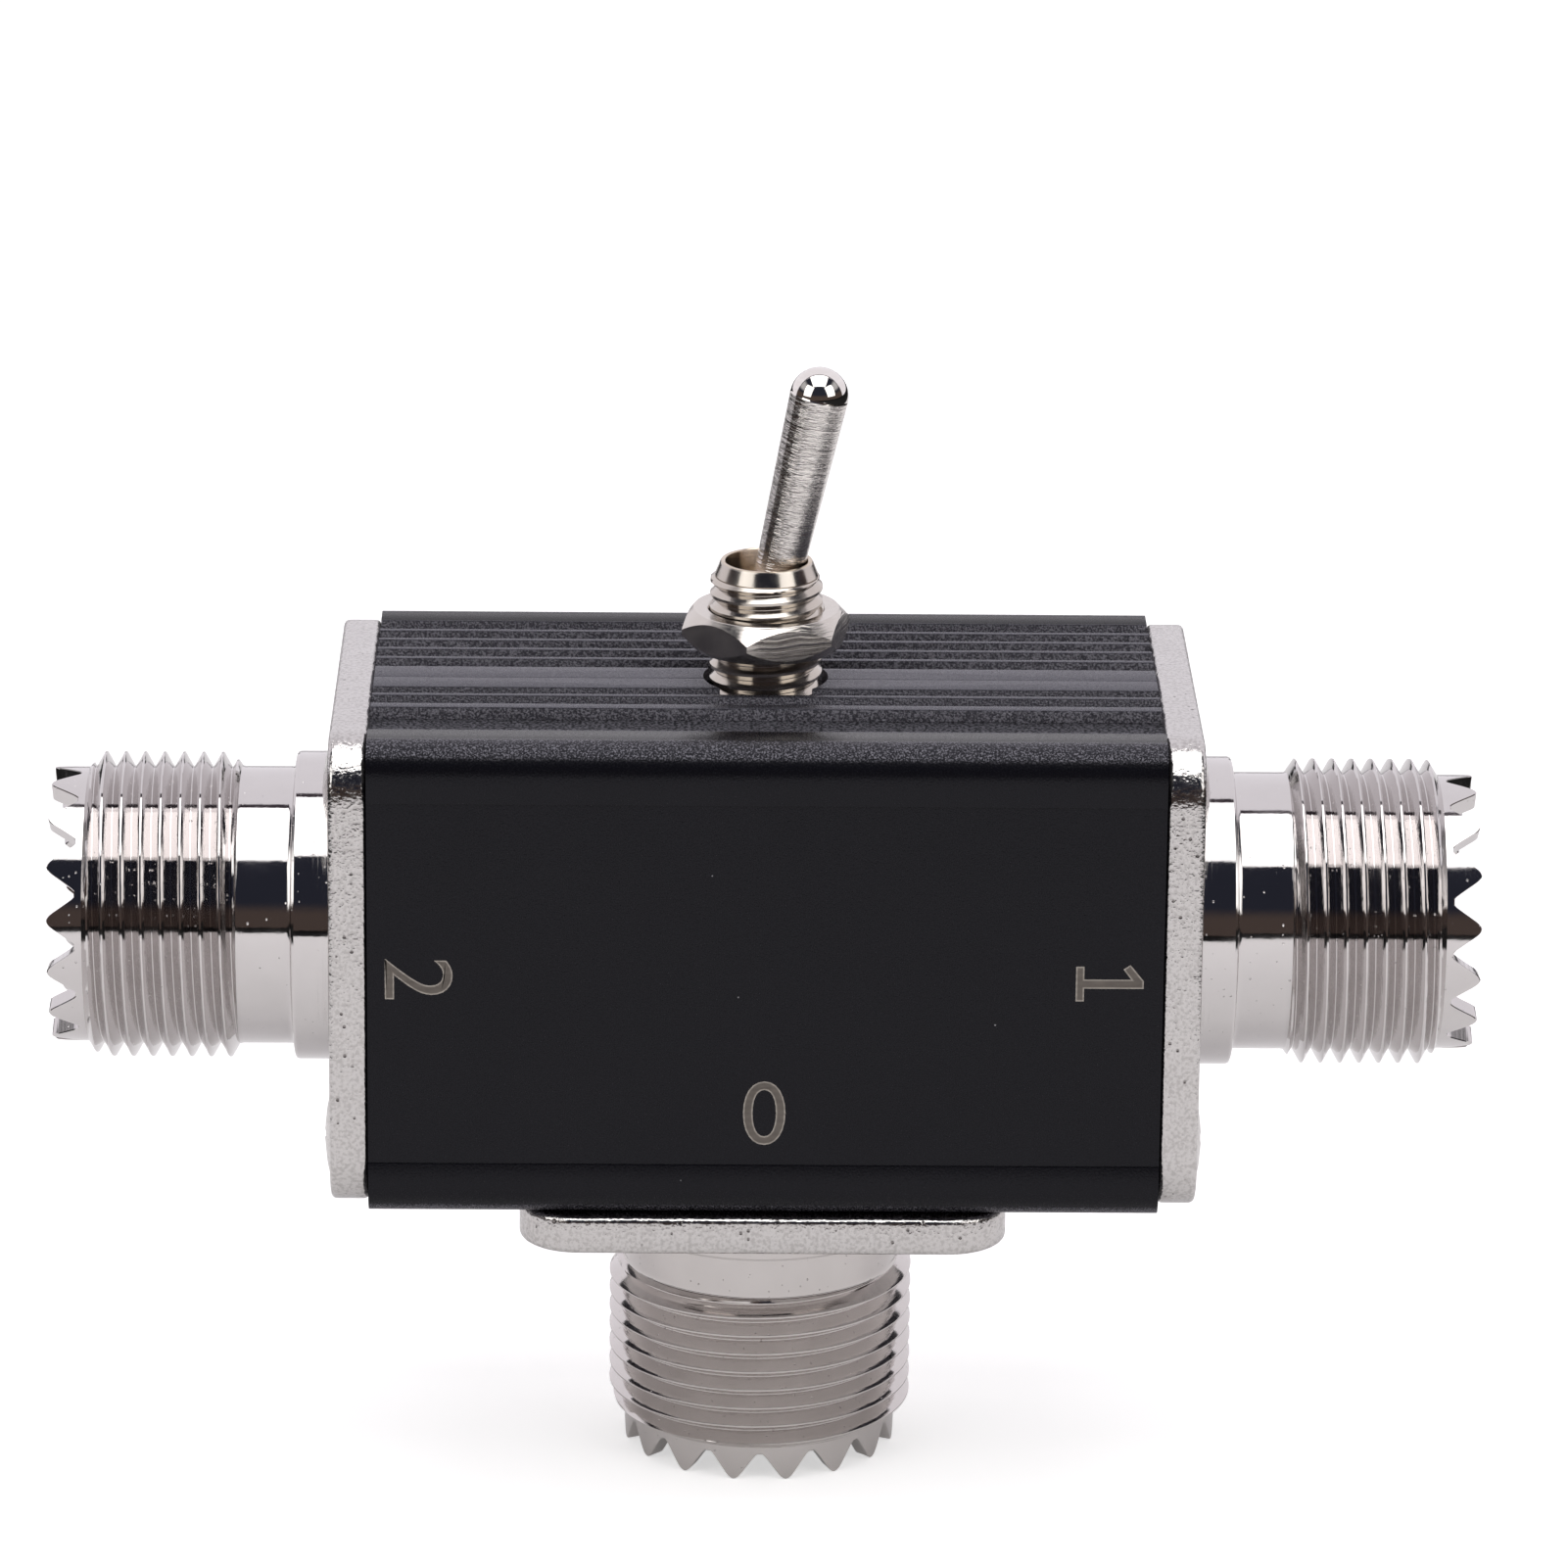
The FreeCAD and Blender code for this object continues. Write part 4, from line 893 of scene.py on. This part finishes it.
warm, tree, shader, own = finish("toggle_nickel")
haze = noise(tree, own, 900.0, 4.0)
plate = mixed(tree, haze, (0.50, 0.455, 0.41), (0.62, 0.57, 0.515))
level = put(tree, "ShaderNodeVectorMath", {0: own, 1: (1.0, 1.0, 0.0)}, operation="MULTIPLY").outputs[0]
off_axis = put(tree, "ShaderNodeVectorMath", {0: level}, operation="LENGTH").outputs["Value"]
throat = ramp(tree, off_axis, *THROAT_WITHIN, 1.0, 0.0)
cut = bump(tree, tool_lines(tree, axial_of(tree), 26.0), 0.0000018, 0.6)
chips = speckled(tree, own, 2400.0, 0.12, 0.14)
feed(tree, shader, {"Base Color": mixed(tree, throat, plate, (0.62, 0.53, 0.43)),
                    "Metallic": 1.0,
                    "Roughness": ramp(tree, haze, 0.3, 0.75, 0.13, 0.24),
                    "Normal": bump(tree, chips, 0.00001, 0.5, cut, invert=True)})


def arc(radius, middle, angles):
    """Points on a circle round (0, middle), at angles in degrees above level."""
    return [(radius * math.cos(math.radians(angle)), middle + radius * math.sin(math.radians(angle)))
            for angle in angles]


UPRIGHT = Matrix.Identity(4)
PIVOT_Z = 44.2                # the middle of the lever's ball; all heights are from the stand
SEAT_R = 2.07
THROAT_R = 1.72
THROAT_Z = PIVOT_Z + math.sqrt(SEAT_R ** 2 - THROAT_R ** 2)
SEAT_END = 43.9
LOWER_BORE_R = 2.3            # the bore below the ball's seat
LOWER_BORE_TOP = 43.4
LOWER_END = 38.4
LOWER_R = 2.7
M6_START = 38.9
M6_END = 46.9
M6_R = 2.875
M6_ROOT_R = 2.58
M6_CORE_R = 2.54
TAPER_R = 2.64                # the tapered end above the thread, at its foot
RIM_Z = 47.7
RIM_R = 2.28
RIM_BORE_R = 2.18
bm = bmesh.new()
lathe(bm, [(LOWER_BORE_R, LOWER_END), (LOWER_R, LOWER_END), (LOWER_R, M6_START),
           (M6_CORE_R, M6_START + 0.05), (M6_CORE_R, M6_END - 0.1), (TAPER_R - 0.04, M6_END),
           (TAPER_R, M6_END + 0.06), (RIM_R + 0.09, RIM_Z - 0.08), (RIM_R + 0.05, RIM_Z - 0.02),
           (RIM_R, RIM_Z), (RIM_BORE_R, RIM_Z), (RIM_BORE_R - 0.06, RIM_Z - 0.04),
           (THROAT_R + 0.03, THROAT_Z + 0.1), (THROAT_R, THROAT_Z)]
      + arc(SEAT_R, PIVOT_Z, (32, 25, 12, 0))
      + [(SEAT_R, SEAT_END), (LOWER_BORE_R, LOWER_BORE_TOP)], segments=96)
join_meshes(bm, helix_thread(
    root_r=M6_ROOT_R, crest_r=M6_R, pitch=0.75, crest_flat=0.14, start=M6_START, end=M6_END, phase=40.0,
    steps=72, inner_r=2.44, start_r=LOWER_R, end_r=2.66, chamfer=0.16))
bushing = finish_piece(bm, "threaded_bushing", UPRIGHT, warm, "case", sharp=24.0)
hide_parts("switch_bushing")


# ---- bushing nut -------------------------
# A hexagon nut of nickel-plated brass, parted off bar: both faces are chamfered,
# which leaves an arc on each flat, and the flats keep their mill marks.
PLOUGHED_FROM = (-0.001, 0.0)         # the flats to the left of this are smoother, in metres

milled, tree, shader, own = finish("nut_nickel")
haze = noise(tree, own, 1100.0, 4.0)
sway = sums(tree, "MULTIPLY_ADD", noise(tree, own, 350.0, 2.0), 0.7, axial_of(tree))
side = ramp(tree, put(tree, "ShaderNodeSeparateXYZ", {0: own}).outputs["X"], *PLOUGHED_FROM, 0.12, 1.0)
ploughed = bump(tree, times(tree, tool_lines(tree, sway, 5.5), side), 0.00005, 0.7)
nicks = speckled(tree, own, 1800.0, 0.12, 0.15)
feed(tree, shader, {"Base Color": mixed(tree, haze, (0.60, 0.56, 0.52), (0.70, 0.66, 0.62)),
                    "Metallic": 1.0,
                    "Roughness": ramp(tree, haze, 0.3, 0.7, 0.14, 0.26),
                    "Normal": bump(tree, nicks, 0.00001, 0.5, ploughed, invert=True)})

NUT_HALF = 3.9                # half the width across flats
NUT_LOW = 43.2
NUT_HIGH = 45.2
NUT_FACE_R = 3.69             # where the chamfer meets a face
NUT_SLOPE = 1.045             # how steeply the chamfer falls outwards
NUT_BAR_R = 5.0               # the round blank before its flats are cut
NUT_BREAK = 0.15
NUT_ALLOWANCE = 0.5           # where the chamfer meets the blank
NUT_TURN = -103.0             # one corner, in degrees from +X
bm = bmesh.new()
lathe(bm, [(M6_R, NUT_LOW + NUT_BREAK), (M6_R + NUT_BREAK, NUT_LOW), (NUT_FACE_R, NUT_LOW),
           (NUT_BAR_R, NUT_LOW + NUT_ALLOWANCE), (NUT_BAR_R, NUT_HIGH - NUT_ALLOWANCE),
           (NUT_FACE_R, NUT_HIGH), (M6_R + NUT_BREAK, NUT_HIGH), (M6_R, NUT_HIGH - NUT_BREAK)], segments=144)
for vert in bm.verts:
    if vert.co.xy.length > NUT_BAR_R - 0.1:
        angle = math.atan2(vert.co.y, vert.co.x)
        radius = NUT_HALF / math.cos(math.radians(math.degrees(angle) % 60 - 30))
        drop = (radius - NUT_FACE_R) * NUT_SLOPE
        on_top = vert.co.z > (NUT_LOW + NUT_HIGH) / 2
        vert.co = Vector((radius * math.cos(angle), radius * math.sin(angle),
                          NUT_HIGH - drop if on_top else NUT_LOW + drop))
turn_shape(bm, NUT_TURN)
nut = finish_piece(bm, "hexagon_nut", UPRIGHT, milled, "case", sharp=14.0)
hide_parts("bushing_nut")


# ---- toggle lever ------------------------
# Turned steel, bright plated: a tapered bat scored by fine rings, a polished
# round tip, and a ball and hollow shank that hide in the bushing.
BALL_R = 2.0
TIP_R = 1.5
TIP_Z = PIVOT_Z + 12.4
ROOT_R = 1.2
SHANK_R = 1.15
SHANK_BORE_R = 0.75
SHANK_END = PIVOT_Z - 4.6
SHANK_FLOOR = PIVOT_Z + 0.2
LEAN = 12                     # degrees to the right at rest


def stretched(tree, own, scale, detail):
    """Noise drawn out along one axis or more."""
    drawn_out = put(tree, "ShaderNodeMapping", {"Vector": own, "Scale": scale}).outputs[0]
    return noise(tree, drawn_out, 1.0, detail)


scored_chrome, tree, shader, own = finish("scored_chrome")
axial = axial_of(tree)
broken = stretched(tree, own, (600.0, 600.0, 8000.0), 1.0)
on_bat = sums(tree, "SUBTRACT", 1.0, ramp(tree, axial, TIP_Z - 0.05, TIP_Z + 0.1))
rings = sums(tree, "ADD", times(tree, tool_lines(tree, axial, 14.0), 0.5), times(tree, broken, 0.9))
feed(tree, shader, {"Base Color": mixed(tree, broken, (0.76, 0.72, 0.69), (0.86, 0.83, 0.80)),
                    "Metallic": 1.0,
                    "Roughness": sums(tree, "MULTIPLY_ADD", on_bat, 0.07, 0.05),
                    "Normal": bump(tree, times(tree, rings, on_bat), 0.000035, 0.9)})

neck = (ROOT_R, PIVOT_Z + math.sqrt(BALL_R ** 2 - ROOT_R ** 2))
outline = [(SHANK_BORE_R, SHANK_END), (SHANK_R, SHANK_END)] + arc(BALL_R, PIVOT_Z, range(-54, 54, 9)) + [neck]
outline += [between(neck, (TIP_R, TIP_Z), share) for share in QUARTERS] + arc(TIP_R, TIP_Z, range(0, 90, 9))
outline += [(AXIS_R, TIP_Z + TIP_R), (AXIS_R, SHANK_FLOOR), (SHANK_BORE_R, SHANK_FLOOR)]
bm = bmesh.new()
lathe(bm, outline, segments=80)
pivot = Matrix.Translation((0, 0, PIVOT_Z * MM))
leaning = pivot @ rotation(LEAN, "Y") @ pivot.inverted()
bat = finish_piece(bm, "toggle_bat", leaning, scored_chrome, "lever")
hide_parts("toggle_lever")


# ---- inside the case ---------------------
# The switch's washer, yoke, base, sprung contact and terminals, and the stiff
# wires to the sockets: CAD solids, each in its own finish, and one coiled spring.
def cloudy_finish(name, scale, detail, colours, hazes, grain, patches=None, haze_over=(0.3, 0.7),
                  metallic=1.0):
    """A finish whose colour, gloss and relief all follow one cloudy pattern."""
    material, tree, shader, own = finish(name)
    cloud = noise(tree, own, scale, detail)
    share = ramp(tree, cloud, *patches) if patches else cloud
    feed(tree, shader, {"Base Color": mixed(tree, share, *colours),
                        "Metallic": metallic,
                        "Roughness": ramp(tree, cloud, *haze_over, *hazes),
                        "Normal": bump(tree, cloud, grain, 0.4)})
    return material


moulding = cloudy_finish(
    "moulded_black", 3000.0, 3.0, ((0.035, 0.035, 0.04), (0.06, 0.06, 0.065)),
    (0.42, 0.58), 0.000015, metallic=0.0)
wire_tin = cloudy_finish(
    "tinned_copper", 1200.0, 4.0, ((0.62, 0.61, 0.60), (0.74, 0.73, 0.72)),
    (0.24, 0.42), 0.00003)
spring_wire = cloudy_finish(
    "spring_wire", 2500.0, 3.0, ((0.40, 0.40, 0.41), (0.56, 0.56, 0.56)),
    (0.22, 0.38), 0.000006)
contact_strip = cloudy_finish(
    "silvered_strip", 900.0, 5.0, ((0.80, 0.77, 0.71), (0.52, 0.46, 0.36)),
    (0.2, 0.4), 0.000015, patches=(0.4, 0.75), haze_over=(0.35, 0.7))

zinc, tree, shader, own = finish("zinc_plate")
flow = noise(tree, own, 600.0, 4.0)
feed(tree, shader, {"Base Color": mixed(tree, flow, (0.52, 0.52, 0.50), (0.66, 0.66, 0.65)),
                    "Metallic": 1.0,
                    "Roughness": ramp(tree, flow, 0.3, 0.7, 0.25, 0.42),
                    "Normal": bump(tree, stretched(tree, own, (300.0, 6000.0, 6000.0), 2.0), 0.000006, 0.5)})

COIL_R = 0.52
WIRE_R = 0.12
COILS = 4
COIL_STEPS = 24               # mesh steps in one coil
COIL_LOW = PIVOT_Z - 2.59
COIL_HIGH = PIVOT_Z + 0.19
bm = bmesh.new()
bmesh.ops.create_circle(bm, cap_ends=True, radius=WIRE_R, segments=12,
                        matrix=Matrix.Translation((COIL_R, 0, COIL_LOW + WIRE_R)) @ rotation(90, "X"))
rise = (COIL_HIGH - COIL_LOW - 2 * WIRE_R) / (COILS * COIL_STEPS)
bmesh.ops.spin(bm, geom=bm.verts[:] + bm.edges[:] + bm.faces[:], cent=(0, 0, 0), axis=(0, 0, 1),
               dvec=(0, 0, rise), angle=2 * math.pi * COILS, steps=COILS * COIL_STEPS)
spring = finish_piece(bm, "coiled_spring", leaning, spring_wire, "lever")
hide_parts("plunger_spring")
along = leaning.to_3x3() @ Vector((0, 0, 1))
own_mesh(spring)

for material, nodes in ((zinc, ("lock_washer", "switch_frame")),
                        (moulding, ("switch_base",)),
                        (contact_strip, ("contact_plunger", "rocker_contact", "common_terminal",
                                         "antenna_1_terminal", "antenna_2_terminal")),
                        (wire_tin, ("antenna_1_lead", "antenna_2_lead", "radio_lead"))):
    for node in nodes:
        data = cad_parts[node].data
        data.materials.clear()
        data.materials.append(material)
